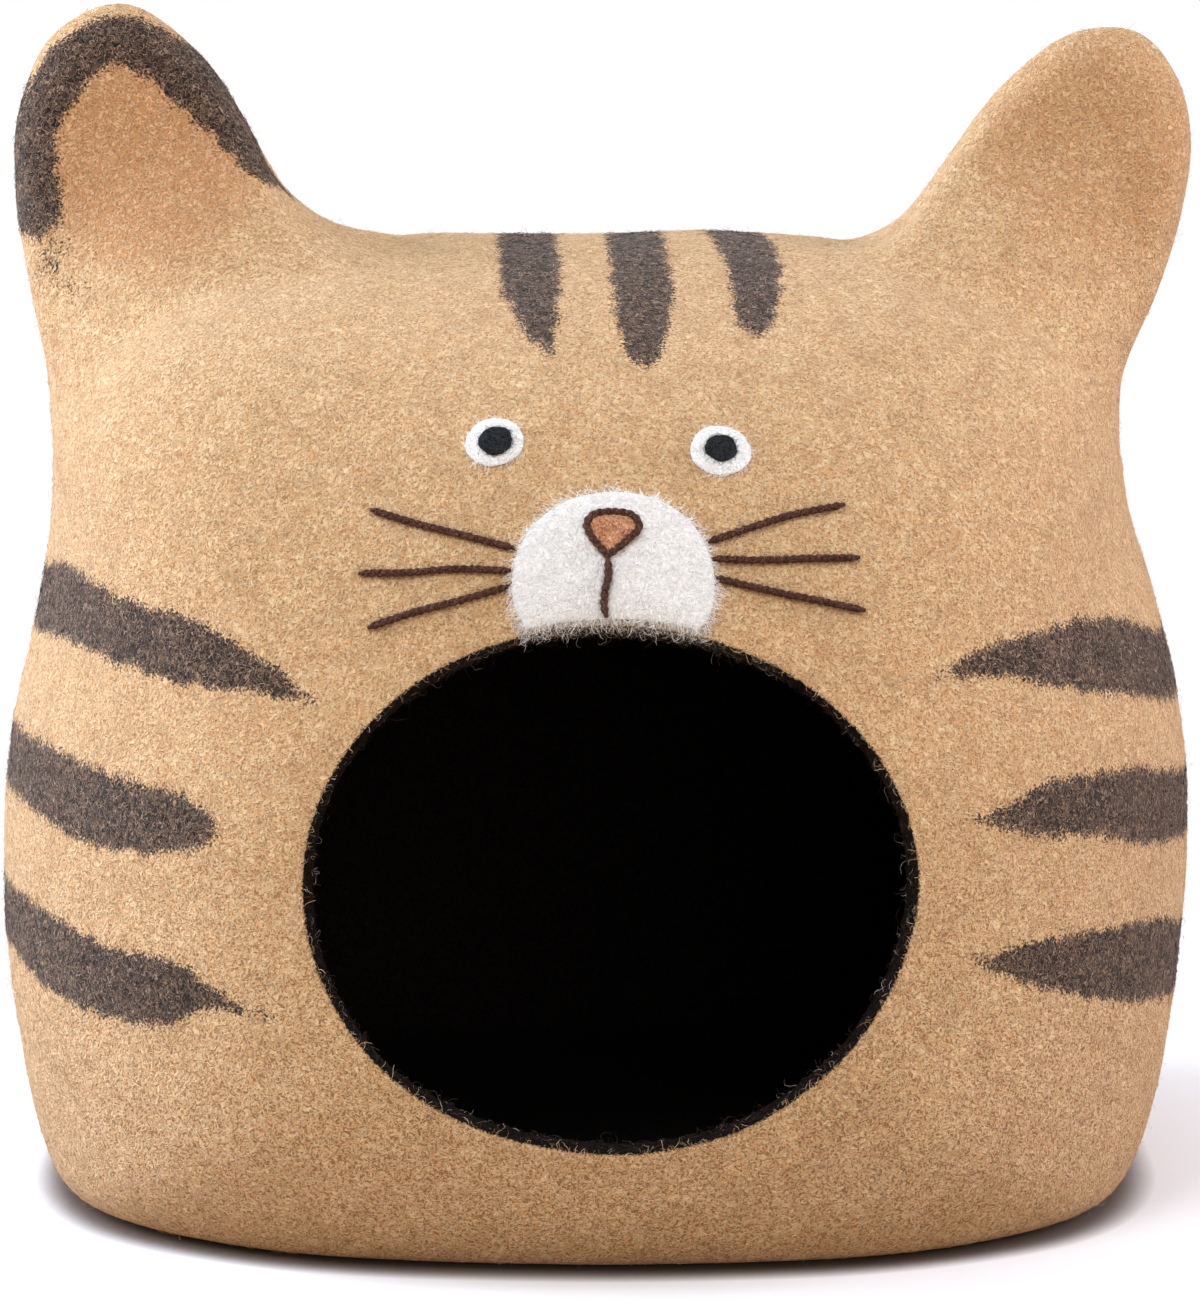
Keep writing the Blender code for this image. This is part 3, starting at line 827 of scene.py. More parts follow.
@dataclass(frozen=True)
class Pattern:
    """Builds the patterns of wool inside one node tree, from Object coordinates."""

    tree: bpy.types.NodeTree
    place: Socket
    bend: float = 1.8

    def cloud(self, size_mm: float, shift: float, detail: float = 1.0) -> Socket:
        """Draws soft blotches.

        Args:
            size_mm: how wide they are.
            shift: what moves this pattern off another.
            detail: how many finer layers lie over the first.

        Returns:
            A value from 0 to 1, about a half.
        """
        by = (shift, shift * 0.7, -shift)
        moved = add_node(self.tree, "VectorMath", {0: self.place, 1: by}, operation="ADD")
        scale = {"Vector": moved.outputs[0], "Scale": 1 / (size_mm * MM), "Detail": detail}
        return add_node(self.tree, "TexNoise", scale).outputs["Fac"]

    def between(self, value: Socket, low: float, high: float) -> Socket:
        """How far a value has gone from low to high, kept from 0 to 1."""
        inputs = {"Value": value, "From Min": low, "From Max": high}
        return add_node(
            self.tree, "MapRange", inputs, interpolation_type="SMOOTHSTEP"
        ).outputs["Result"]

    def math(self, operation: str, *values: object) -> Socket:
        """The result of one Math node on values or sockets."""
        inputs = dict(enumerate(values))
        return add_node(self.tree, "Math", inputs, operation=operation).outputs[0]

    def bent(self, size_mm: float) -> Socket:
        """The place pushed about by soft noise of this size, so that lines drawn on it curl."""
        scale = {"Vector": self.place, "Scale": 1 / (size_mm * MM), "Detail": 0.0}
        push = add_node(self.tree, "TexNoise", scale).outputs["Color"]
        by = self.bend * size_mm * MM
        inputs = {0: push, 1: (by, by, by), 2: self.place}
        return add_node(self.tree, "VectorMath", inputs, operation="MULTIPLY_ADD").outputs[0]

    def curls(self, along: Socket, size_mm: float, thin: float, shift: float) -> Socket:
        """Thin curled lines, as single fibres lie: 1 on a line and 0 beside it.

        Args:
            along: the place that they are drawn on, bent so that they curl.
            size_mm: how far apart they lie.
            thin: how wide they are, as a part of the noise's range.
            shift: what moves this set of lines off another.

        Returns:
            The lines' socket.
        """
        by = (shift, -shift, shift * 0.6)
        moved = add_node(self.tree, "VectorMath", {0: along, 1: by}, operation="ADD").outputs[0]
        scale = {"Vector": moved, "Scale": 1 / (size_mm * MM), "Detail": 0.0}
        soft = add_node(self.tree, "TexNoise", scale).outputs["Fac"]
        off = self.math("ABSOLUTE", self.math("SUBTRACT", soft, 0.5))
        return self.between(off, thin, thin * 0.2)

    def mix(self, share: object, one: object, two: object) -> Socket:
        """Two colours mixed: all one at a share of 0 and all two at 1."""
        inputs = {"Fac": share, "Color1": one, "Color2": two}
        return add_node(self.tree, "MixRGB", inputs).outputs[0]


class Marks(NamedTuple):
    """What a felt's pattern is made of: the bent place, fine fibres, pits and blotches."""

    bent: Socket
    fine: Socket
    pits: Socket
    blotch: Socket


@dataclass(frozen=True)
class Felt:
    """Wool felt: matt, a mat of curled fibres that catch the light over small dark gaps.

    Real wool is about 0.03 mm thick, too fine to show from 2 m, so it is drawn coarser: as tufts
    that lie fibre_mm apart. The three colours are the felt's own, its raised fibres' and its gaps'.
    """

    name: str
    ground: str
    light: str
    shade: str
    fibre_mm: float = 1.6
    relief_mm: float = 0.45
    roughness: float = 0.92
    sheen: float = 0.20

    def colour(self, wool: Pattern) -> tuple[Socket, Socket, Marks]:
        """The felt's colour and its relief.

        Args:
            wool: the pattern maker of the material's tree.

        Returns:
            The colour's socket, the height's socket and what they are made of.
        """
        size = self.fibre_mm
        shade, light = linear(self.shade), linear(self.light)
        # Curled tufts: two sets of pale ones that catch the light, and dark ones in their shade.
        # They give the eye a matted pile. Real fibres are 0.03 mm thick and are drawn coarser.
        bent = wool.bent(size * 1.2)
        fine = wool.curls(bent, size, 0.12, 0.0)
        long = wool.curls(bent, size * 1.7, 0.07, 3.1)
        dark = wool.curls(bent, size * 1.25, 0.09, 8.7)
        # Pinholes under 1 mm wide between the tufts, which make the felt look thick and soft.
        pits = wool.cloud(size * 0.55, 7.7, 1.0)
        gaps = wool.between(pits, 0.52, 0.64)
        # Blotches about 11 mm wide, where hands laid more wool or less.
        blotch = wool.cloud(size * 7.0, 1.3, 1.0)
        # The gaps are darker in the lowest 20 cm, where less light gets between the tufts.
        height_m = add_node(wool.tree, "SeparateXYZ", {0: wool.place}).outputs["Z"]
        low = wool.between(height_m, 0.20, 0.05)
        deep = wool.math("MULTIPLY_ADD", low, 0.40, 0.58)
        thin = wool.between(blotch, 0.42, 0.70)
        colour = wool.mix(wool.math("MULTIPLY", dark, deep), linear(self.ground), shade)
        colour = wool.mix(wool.math("MULTIPLY", gaps, deep), colour, shade)
        colour = wool.mix(wool.math("MULTIPLY", fine, 0.60), colour, light)
        colour = wool.mix(wool.math("MULTIPLY", long, 0.60), colour, light)
        colour = wool.mix(wool.math("MULTIPLY", thin, 0.16), colour, shade)
        height = wool.math("MULTIPLY_ADD", fine, 0.5, wool.math("MULTIPLY", long, 0.6))
        height = wool.math("MULTIPLY_ADD", gaps, -0.6, height)
        height = wool.math("MULTIPLY_ADD", blotch, 1.2, height)
        return colour, height, Marks(bent, fine, pits, blotch)

    def close(
        self, tree: bpy.types.NodeTree, output: bpy.types.Node, colour: Socket, height: Socket
    ) -> None:
        """Puts the colour and the relief on a matt surface.

        Its sheen is the down of loose ends, which pales the felt where it turns away.

        Args:
            tree: the material's node tree.
            output: its output node.
            colour: the colour's socket.
            height: the relief's socket.
        """
        bump = add_node(
            tree, "Bump", {"Height": height, "Strength": 0.8, "Distance": self.relief_mm * MM}
        )
        surface = add_node(
            tree,
            "BsdfPrincipled",
            {
                "Base Color": colour,
                "Roughness": self.roughness,
                "Specular IOR Level": 0.15,
                "Sheen Weight": self.sheen,
                "Sheen Roughness": 0.6,
                "Normal": bump.outputs["Normal"],
            },
        )
        tree.links.new(surface.outputs["BSDF"], output.inputs["Surface"])

    def material(self) -> bpy.types.Material:
        """The felt by itself."""
        material, tree, output = blank_material(self.name)
        wool = Pattern(tree, add_node(tree, "TexCoord").outputs["Object"])
        colour, height, _ = self.colour(wool)
        self.close(tree, output, colour, height)
        return material


@dataclass(frozen=True)
class StripedFelt(Felt):
    """The shell's wet-felted wool: tan, with dark wool laid in as stripes and a warm ear."""

    dark: str = "#291b14"
    dark_light: str = "#8c715c"
    dark_tips: str = "#c6a88f"
    dark_shade: str = "#120b08"
    warm: str = "#bf8657"
    warm_light: str = "#dfb189"

    def material(self) -> bpy.types.Material:
        """The tan felt with its stripes and its warm ear, from the shell's attributes."""
        material, tree, output = blank_material(self.name)
        wool = Pattern(tree, add_node(tree, "TexCoord").outputs["Object"])
        tan, height, marks = self.colour(wool)
        inside = add_node(tree, "Attribute", attribute_name="stripe").outputs["Fac"]
        warmth = add_node(tree, "Attribute", attribute_name="warmth").outputs["Fac"]
        edge_of_door = add_node(tree, "Attribute", attribute_name="from_door").outputs["Fac"]
        size = self.fibre_mm
        light, darkest = linear(self.dark_light), linear(self.dark_shade)
        # Peach wool felted into the ear's face in freckles, so that the tan comes through it.
        warm = wool.mix(
            wool.math("MULTIPLY", marks.fine, 0.8), linear(self.warm), linear(self.warm_light)
        )
        deep = wool.between(marks.pits, 0.50, 0.66)
        warm = wool.mix(wool.math("MULTIPLY", deep, 0.60), warm, linear(self.shade))
        freckles = wool.between(marks.pits, 0.62, 0.38)
        share = wool.math("MULTIPLY", warmth, wool.math("MULTIPLY_ADD", freckles, 0.35, 0.50))
        tan = wool.mix(share, tan, warm)
        # The last millimetre before the door is painted near black, raggedly: partly the wall's
        # dark inner layer, partly painted shade on the rim.
        rim = wool.math("MULTIPLY_ADD", marks.pits, 0.0030, edge_of_door)
        tan = wool.mix(wool.between(rim, 0.0024, 0.0013), tan, darkest)
        # Dark wool strays a few millimetres out of its stripe, as it does when felt is rubbed:
        # finely, by up to 4.5 mm, and in slow bays, by up to 2 mm.
        ragged = wool.math("SUBTRACT", marks.pits, 0.5)
        wander = wool.math("SUBTRACT", wool.cloud(size * 4.0, 0.9, 0.0), 0.5)
        edge = wool.math("MULTIPLY_ADD", ragged, 9.0, inside)
        edge = wool.math("MULTIPLY_ADD", wander, 4.0, edge)
        mask = wool.between(edge, -1.4, 1.0)
        # In the stripe, pale hairs and hair tips lie over brown wool with near-black gaps. They
        # give the eye a salted brown, and most where the blotches are worn.
        long = wool.curls(marks.bent, size * 1.5, 0.08, 5.3)
        tips = wool.curls(marks.bent, size * 1.3, 0.036, 11.0)
        gaps = wool.between(marks.pits, 0.44, 0.62)
        worn = wool.math("MULTIPLY_ADD", wool.between(marks.blotch, 0.35, 0.68), 0.32, 0.08)
        dark = wool.mix(gaps, linear(self.dark), darkest)
        dark = wool.mix(wool.math("MULTIPLY", marks.fine, worn), dark, light)
        dark = wool.mix(wool.math("MULTIPLY", long, 0.46), dark, light)
        dark = wool.mix(wool.math("MULTIPLY", tips, 0.50), dark, linear(self.dark_tips))
        self.close(tree, output, wool.mix(mask, tan, dark), height)
        return material


@dataclass(frozen=True)
class LooseWool:
    """Single fibres of wool. Their map's u is a fibre's tone, and its v what it is rooted in.

    A v near 0 is plain felt, up to 0.45 peach felt and 0.9 a dark stripe.
    """

    name: str
    deep: str
    bright: str
    dark_deep: str = "#21170f"
    dark_bright: str = "#b89e89"
    warm: str = "#d3a075"

    def material(self) -> bpy.types.Material:
        """Matt fibres whose colour follows the felt that they grow from."""
        material, tree, output = blank_material(self.name)
        spot = add_node(tree, "UVMap", uv_map="wool")
        parts = add_node(tree, "SeparateXYZ", {0: spot.outputs["UV"]})
        wool = Pattern(tree, spot.outputs["UV"])
        tone, place = parts.outputs["X"], parts.outputs["Y"]
        tan = wool.mix(tone, linear(self.deep), linear(self.bright))
        tan = wool.mix(wool.between(place, 0.05, 0.45), tan, linear(self.warm))
        dark = wool.mix(
            wool.between(tone, 0.44, 1.0), linear(self.dark_deep), linear(self.dark_bright)
        )
        colour = wool.mix(wool.between(place, 0.5, 0.6), tan, dark)
        inputs = {"Base Color": colour, "Roughness": 0.9, "Specular IOR Level": 0.15}
        surface = add_node(tree, "BsdfPrincipled", inputs)
        tree.links.new(surface.outputs["BSDF"], output.inputs["Surface"])
        return material


@dataclass(frozen=True)
class Yarn:
    """Two-ply wool yarn: matt, its plies darker between and fuzzy along their backs."""

    name: str = "two_ply_wool_yarn_dark_brown"
    back: str = "#51342a"
    deep: str = "#26140f"
    lint: str = "#8d6855"

    def material(self) -> bpy.types.Material:
        """The yarn with its lint and with the shade between its fibres."""
        material, tree, output = blank_material(self.name)
        wool = Pattern(tree, add_node(tree, "TexCoord").outputs["Object"])
        # Lint catches the light along the plies' backs, and the gaps between fibres are darker.
        # Real fibres are 0.03 mm thick; these lie under 1 mm apart, so that they show.
        fine = wool.curls(wool.place, 0.8, 0.07, 0.0)
        gaps = wool.between(wool.cloud(0.7, 2.0, 1.0), 0.40, 0.62)
        colour = wool.mix(gaps, linear(self.back), linear(self.deep))
        colour = wool.mix(wool.math("MULTIPLY", fine, 0.60), colour, linear(self.lint))
        height = wool.math("MULTIPLY_ADD", gaps, -0.5, fine)
        bump = add_node(tree, "Bump", {"Height": height, "Strength": 0.8, "Distance": 0.2 * MM})
        inputs = {"Base Color": colour, "Roughness": 0.85, "Specular IOR Level": 0.2}
        surface = add_node(tree, "BsdfPrincipled", inputs | {"Normal": bump.outputs["Normal"]})
        tree.links.new(surface.outputs["BSDF"], output.inputs["Surface"])
        return material


# ---------------------------------------------------------------- making pieces


def new_piece(
    name: str, points: np.ndarray | list[Vector], faces: Sequence[Sequence[int]]
) -> Piece:
    """A smooth-shaded mesh object at the origin.

    Args:
        name: the piece's name.
        points: its corners, in metres.
        faces: its faces, each a row of corner numbers.

    Returns:
        The object, linked to the scene.
    """
    mesh = bpy.data.meshes.new(name)
    mesh.from_pydata([tuple(p) for p in points], [], [tuple(f) for f in faces])
    mesh.shade_smooth()
    piece = bpy.data.objects.new(name, mesh)
    bpy.context.scene.collection.objects.link(piece)
    return piece


def apply_all(piece: Piece) -> None:
    """Applies the piece's modifiers in order."""
    bpy.ops.object.select_all(action="DESELECT")
    bpy.context.view_layer.objects.active = piece
    piece.select_set(True)
    for modifier in list(piece.modifiers):
        bpy.ops.object.modifier_apply(modifier=modifier.name)


def settle_in(piece: Piece, slot: Wool, *nodes: str) -> None:
    """Rides the piece on the cave and hides the nodes that it stands for."""
    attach(piece, BODY)
    if nodes:
        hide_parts(*nodes)
    log.info("%s: %d faces", piece.name, len(piece.data.polygons))


def unit(vectors: np.ndarray, guard: float = 0.0) -> np.ndarray:
    """The vectors at a length of 1. A guard above 0 keeps an empty one from a division by 0."""
    return vectors / (np.linalg.norm(vectors, axis=-1, keepdims=True) + guard)


def drawn(limits: tuple[float, float], shares: np.ndarray) -> np.ndarray:
    """The values at these shares of the way from the lower limit to the upper."""
    low, high = limits
    return low + (high - low) * shares


@dataclass(frozen=True)
class FibreCoat:
    """Loose wool that stands off a felt surface, each fibre a thin curled ribbon.

    Wool is about 0.03 mm thick. The ribbons are 0.08 to 0.20 mm wide and fewer, so that they
    show: they break up the felt's outline and give the eye its nap.
    """

    name: str
    count: int
    length_mm: tuple[float, float]
    width_mm: float
    lift_mm: tuple[float, float]
    curl: float
    seed: int
    bends: int = 4
    fewest: int = 50
    quick_share: int = 6
    sunk: float = 0.0002
    clear_of_floor: float = 0.0004
    stray_mm: float = 0.9

    def rooted(
        self, ground: Ground, weigh: Weight, rng: np.random.Generator, count: int
    ) -> Callable[[np.ndarray], np.ndarray]:
        """Chooses where the fibres grow.

        Args:
            ground: the felt that they grow from.
            weigh: gives how thickly they grow on each of its triangles.
            rng: what draws them.
            count: how many there are.

        Returns:
            A function that gives values of the ground's points, mixed at each root.
        """
        corners = ground.points[ground.triangles]
        span = np.cross(corners[:, 1] - corners[:, 0], corners[:, 2] - corners[:, 0])
        chance = np.linalg.norm(span, axis=1)
        chance = chance * weigh(corners.mean(axis=1), np.arange(len(corners)))
        chosen = ground.triangles[rng.choice(len(corners), size=count, p=chance / chance.sum())]
        share = rng.random((count, 2))
        over = share.sum(axis=1) > 1
        share[over] = 1 - share[over]
        mix = np.column_stack([1 - share.sum(axis=1), share])
        return lambda values: np.einsum("nk,nk...->n...", mix, values[chosen])

    def paths(
        self, root: np.ndarray, normal: np.ndarray, way: np.ndarray, rng: np.random.Generator
    ) -> np.ndarray:
        """Bends each fibre from its root over the felt.

        Args:
            root: where it grows.
            normal: the felt's normal there.
            way: the way that it sets out in, along the felt.
            rng: what draws its length, its lift and its turns.

        Returns:
            For each fibre, the points along its middle.
        """
        count, across = len(root), np.cross(normal, way)
        length = drawn(self.length_mm, rng.random(count) ** 1.6) * MM
        lift = drawn(self.lift_mm, rng.random(count) ** 2.2) * MM
        turn = np.cumsum(
            rng.normal(size=(count, 1)) * self.curl
            + rng.normal(size=(count, self.bends)) * self.curl * 0.6,
            axis=1,
        )
        stride = (length / self.bends)[:, None, None] * (
            np.cos(turn)[..., None] * way[:, None] + np.sin(turn)[..., None] * across[:, None]
        )
        path = np.concatenate([np.zeros((count, 1, 3)), np.cumsum(stride, axis=1)], axis=1)
        t = np.linspace(0, 1, self.bends + 1)
        # Four in ten fibres end in the air, and the others come down to the felt again.
        standing = (rng.random(count) < 0.4)[:, None]
        rise = np.where(standing, t**1.3, np.sin(math.pi * np.minimum(1, t * 1.05)))
        height = lift[:, None] * rise - self.sunk
        return root[:, None] + path + normal[:, None] * height[..., None]

    def ribbons(self, path: np.ndarray, normal: np.ndarray, rng: np.random.Generator) -> np.ndarray:
        """Widens each path to a ribbon that is thinner at both ends.

        Args:
            path: for each fibre, the points along its middle.
            normal: the felt's normal at its root.
            rng: what draws how far it is rolled over.

        Returns:
            For each fibre and each of its points, both edges.
        """
        forward = unit(np.gradient(path, axis=1), 1e-12)
        roll = rng.uniform(-1.2, 1.2, len(path))[:, None, None]
        side = unit(np.cross(forward, normal[:, None]), 1e-12)
        side = side * np.cos(roll) + normal[:, None] * np.sin(roll)
        t = np.linspace(0, 1, self.bends + 1)
        half = self.width_mm * MM / 2 * (0.35 + 0.65 * np.sin(math.pi * (t * 0.8 + 0.12)))
        edge = side * half[None, :, None]
        return np.stack([path - edge, path + edge], axis=2)

    def grow(self, ground: Ground, weigh: Weight, comb: Comb | None = None) -> Piece:
        """Roots the fibres and builds them as one mesh.

        Args:
            ground: the felt that they grow from.
            weigh: gives how thickly they grow on each of its triangles.
            comb: gives the way that the wool lies at a place, or None where it lies anyhow.

        Returns:
            The mesh object, with a map that holds each fibre's tone and place.
        """
        rng = np.random.default_rng(self.seed)
        count = max(self.fewest, self.count // (1))
        at_root = self.rooted(ground, weigh, rng, count)
        root, normal = at_root(ground.points), unit(at_root(ground.normals))
        way = rng.normal(size=(count, 3))
        if comb is not None:
            way = way * 0.35 + comb(root)
        way = unit(way - normal * (way * normal).sum(axis=1, keepdims=True))
        strip = self.ribbons(self.paths(root, normal, way, rng), normal, rng)
        clear = strip[..., 2].min(axis=(1, 2)) > self.clear_of_floor
        strip = strip[clear]
        kept = len(strip)
        base = (np.arange(kept) * (self.bends + 1) * 2)[:, None] + np.arange(self.bends) * 2
        faces = np.stack([base, base + 1, base + 3, base + 2], axis=2).reshape(-1, 4)
        piece = new_piece(self.name, strip.reshape(-1, 3), faces.tolist())
        tone = rng.random(count)[clear]
        place = np.zeros(kept)
        if "stripe" in ground.values:
            stray = rng.normal(size=kept) * self.stray_mm
            inside = at_root(ground.values["stripe"])[clear] + stray
            place = 0.45 * at_root(ground.values["warmth"])[clear]
            place = np.where(inside > 0, 0.9, place)
        # The map stays just inside its square, so that no tone wraps round to the other end.
        spot = np.repeat(np.stack([tone, place], axis=1) * 0.98 + 0.01, self.bends * 4, axis=0)
        layer = piece.data.uv_layers.new(name="wool")
        layer.data.foreach_set("uv", spot.astype(np.float32).ravel())
        return piece


def cover(
    ground: Ground,
    coat: FibreCoat,
    weigh: Weight,
    material: bpy.types.Material,
    slot: Wool,
    comb: Comb | None = None,
) -> None:
    """Grows a coat and finishes it as a piece.

    Args:
        ground: the felt that it grows from.
        coat: its fibres.
        weigh: gives how thickly they grow.
        material: their wool.
        slot: the record's slot that they belong to; not used.
        comb: gives the way that they lie, if they are brushed.
    """
    piece = coat.grow(ground, weigh, comb)
    piece.data.materials.append(material)
    settle_in(piece, slot)


# ---------------------------------------------------------------- the shell


@dataclass
class Shell:
    """The cave's one-piece wall of felt, with its stripes, warm ear and dark inner face with
    painted shade.
    """

    form: CaveForm = field(default_factory=CaveForm)
    stripes: Stripes = field(default_factory=Stripes)
    rim_rounding: float = 0.0034
    rim_angle_degrees: float = 50
    even_turns: int = 40
    warm_middle: Point = Point(-0.1560, 0.3600)
    warm_reach: Point = Point(0.0400, 0.0400)
    warm_right: Point = Point(0.1760, 0.3620)
    warm_right_share: float = 0.60
    warm_ends: float = 0.012
    flat_cut: tuple[float, float] = (0.76, 0.76)
    flat_area: float = 0.56

    def build(self) -> Ground:
        """Makes the wall and dresses it.

        Returns:
            The ground that it gives to the face and to loose wool.
        """
        points, faces, from_door = self.form.surface()
        shell = new_piece(SHELL, points, faces)
        self.even_out(shell, points)
        self.mark(shell, from_door)
        shell.data.materials.append(TAN_FELT.material())
        shell.data.materials.append(INNER_FELT_AND_SHADE.material())
        self.thicken(shell)
        settle_in(shell, Wool.TAN, "cave_shell")
        return Ground(shell)

    def even_out(self, shell: Piece, points: list[Vector]) -> None:
        """Evens the back and the part near the floor, as fulling does.

        Args:
            shell: the open outside.
            points: its points.
        """
        fulled = shell.vertex_groups.new(name="fulled")
        low = self.form.low
        for index, point in enumerate(points):
            away = point.y if point.z > low else abs(point.y)
            weight = smooth_step(away / self.form.fulled_from - 1)
            fulled.add([index], weight * (1.0 if point.z > low else self.form.low_share), "REPLACE")
        even = shell.modifiers.new("even", "SMOOTH")
        even.factor = 0.5
        even.iterations = self.even_turns
        even.vertex_group = fulled.name
        apply_all(shell)

    def mark(self, shell: Piece, from_door: list[float]) -> None:
        """Writes where the stripes, the warm ear and the door's edge are, as attributes.

        Args:
            shell: the open outside.
            from_door: each point's distance from the door's edge.
        """
        ground = Ground(shell)
        spines = self.stripes.spines(ground)
        marks = {
            "stripe": np.maximum(
                self.stripes.inside(ground.points, spines), self.stripes.flecked(ground.points)
            ),
            "warmth": self.warmth(ground.points),
            "from_door": np.array(from_door),
        }
        for name, values in marks.items():
            layer = shell.data.attributes.new(name, "FLOAT", "POINT")
            layer.data.foreach_set("value", values.astype(np.float32))

    def warmth(self, points: np.ndarray) -> np.ndarray:
        """How much peach wool is laid into the faces of the ears, from 0 to 1.

        Args:
            points: rows of x, y and z, in metres.

        Returns:
            One share for each point.
        """
        found = np.zeros(len(points))
        for middle, most in ((self.warm_middle, 1.0), (self.warm_right, self.warm_right_share)):
            x = (points[:, 0] - middle.across) / self.warm_reach.across
            z = (points[:, 2] - middle.height) / self.warm_reach.height
            # Full up to 0.65 of the reach, and gone in a soft step at 1.25 of it.
            near = (1.25 - np.hypot(x, z)).clip(0, 0.6) / 0.6
            found = np.maximum(found, most * near * near * (3 - 2 * near))
        return found * (points[:, 1] < self.warm_ends)

    def thicken(self, shell: Piece) -> None:
        """Gives the felt its wall and rounds the door's rim."""
        wall = shell.modifiers.new("wall", "SOLIDIFY")
        wall.thickness = self.form.wall
        wall.offset = -1
        wall.use_even_offset = True
        wall.use_quality_normals = True
        # The inner face and the rim's end face take the dark inner felt, painted near black with
        # the shade inside.
        wall.material_offset = 1
        wall.material_offset_rim = 1
        rim = shell.modifiers.new("rim", "BEVEL")
        rim.limit_method = "ANGLE"
        rim.angle_limit = math.radians(self.rim_angle_degrees)
        rim.width = self.rim_rounding
        rim.segments = 4
        apply_all(shell)


# Wet-felted over a mould: dense, matt and even, which gives the eye a warm and sturdy wall.
TAN_FELT = StripedFelt(
    name="wet_felted_wool_tan",
    ground="#d0a474",
    light="#ecd0a5",
    shade="#966d44",
    relief_mm=0.6,
    sheen=0.12,
)
# The wall's inner layer of dark wool, painted near black with the shade inside the cave. It keeps
# the room behind the door in the dark.
INNER_FELT_AND_SHADE = Felt(
    name="wet_felted_wool_charcoal",
    ground="#0f0a08",
    light="#261d18",
    shade="#060302",
    sheen=0.0,
)
# Needle-felted on afterwards: looser and clean white, so that it stands out against the tan.
WHITE_FELT = Felt(
    name="needle_felted_wool_white",
    ground="#ffffff",
    light="#ffffff",
    shade="#d8dadd",
    fibre_mm=1.5,
    relief_mm=0.6,
)
# Needle-felted small and tight. Without sheen it stays the darkest spot of the face.
BLACK_FELT = Felt(
    name="needle_felted_wool_black",
    ground="#16181b",
    light="#3c4147",
    shade="#08090a",
    fibre_mm=1.1,
    relief_mm=0.3,
    sheen=0.0,
)
# Needle-felted, pale hairs over deep gaps: a small rough spot of warm colour.
NOSE_FELT = Felt(
    name="needle_felted_wool_terracotta",
    ground="#cf8a5f",
    light="#ffc59b",
    shade="#5c2e19",
    fibre_mm=1.5,
    relief_mm=0.6,
)
# Loose ends that fulling and needling leave. Each soft outline on the cave comes from them.
TAN_FIBRE = LooseWool(name="loose_wool_tan", deep="#b18d60", bright="#efd8b2")
WHITE_FIBRE = LooseWool(name="loose_wool_white", deep="#ecebea", bright="#ffffff")
RIM_FIBRE = LooseWool(name="loose_wool_rim_curls", deep="#211915", bright="#4d413a")
RIM_WHITE = LooseWool(name="loose_wool_rim_grey", deep="#6d645c", bright="#d8d2ca")
FOOT_FIBRE = LooseWool(name="loose_wool_grey_white", deep="#75665a", bright="#f8f6f3")
NOSE_FIBRE = LooseWool(name="loose_wool_terracotta", deep="#8a4a2a", bright="#ffcca4")
PUPIL_FIBRE = LooseWool(name="loose_wool_black", deep="#0d0e10", bright="#42474d")
YARN_FIBRE = LooseWool(name="loose_wool_yarn_brown", deep="#2f1c15", bright="#94705c")
# Spun and plied: its twist gives the whiskers a fine slanting grain.
YARN = Yarn()


# ---------------------------------------------------------------- felt patches and yarn


@dataclass(frozen=True)
class Patch:
    """A felt patch on the shell: a soft dome that is thin at its edge."""

    name: str
    around: int
    rings: int
    thickness: float
    lift: float
    edge_share: float = 0.30
    crown_power: float = 2.6
    lumps_per_metre: float = 260

    def build(self, at: Layout, material: bpy.types.Material, wobble: float) -> Piece:
        """Builds the patch as a closed, flat-bottomed pad.

        Args:
            at: gives the shell's point and normal at a share of the reach and an angle.
            material: its felt.
            wobble: how uneven its thickness is, in metres.

        Returns:
            The mesh object.
        """
        top, under = [], []
        for ring in range(self.rings + 1):
            share = math.sin(math.pi / 2 * ring / self.rings)
            crown = max(0.0, 1 - share**self.crown_power) ** 0.5
            rise = self.thickness * (self.edge_share + (1 - self.edge_share) * crown)
            for k in range(self.around if ring else 1):
                spot, out = at(share, math.tau * k / self.around)
                bump = wobble * noise.noise(spot * self.lumps_per_metre) * (1 - share**4)
                top.append(spot + out * (self.lift + rise + bump))
                under.append(spot + out * self.lift)
        points = top + under
        count = len(top)
        faces: list[tuple[int, ...]] = []
        for base, flip in ((0, False), (count, True)):
            found: list[tuple[int, ...]] = []
            for k in range(self.around):
                found.append((base, base + 1 + k, base + 1 + (k + 1) % self.around))
            for ring in range(self.rings - 1):
                for k in range(self.around):
                    a = base + 1 + ring * self.around + k
                    b = base + 1 + ring * self.around + (k + 1) % self.around
                    found.append((a, a + self.around, b + self.around, b))
            faces += [tuple(reversed(f)) for f in found] if flip else found
        last = 1 + (self.rings - 1) * self.around
        for k in range(self.around):
            a, b = last + k, last + (k + 1) % self.around
            faces.append((a, a + count, b + count, b))
        patch = new_piece(self.name, points, faces)
        patch.data.materials.append(material)
        return patch


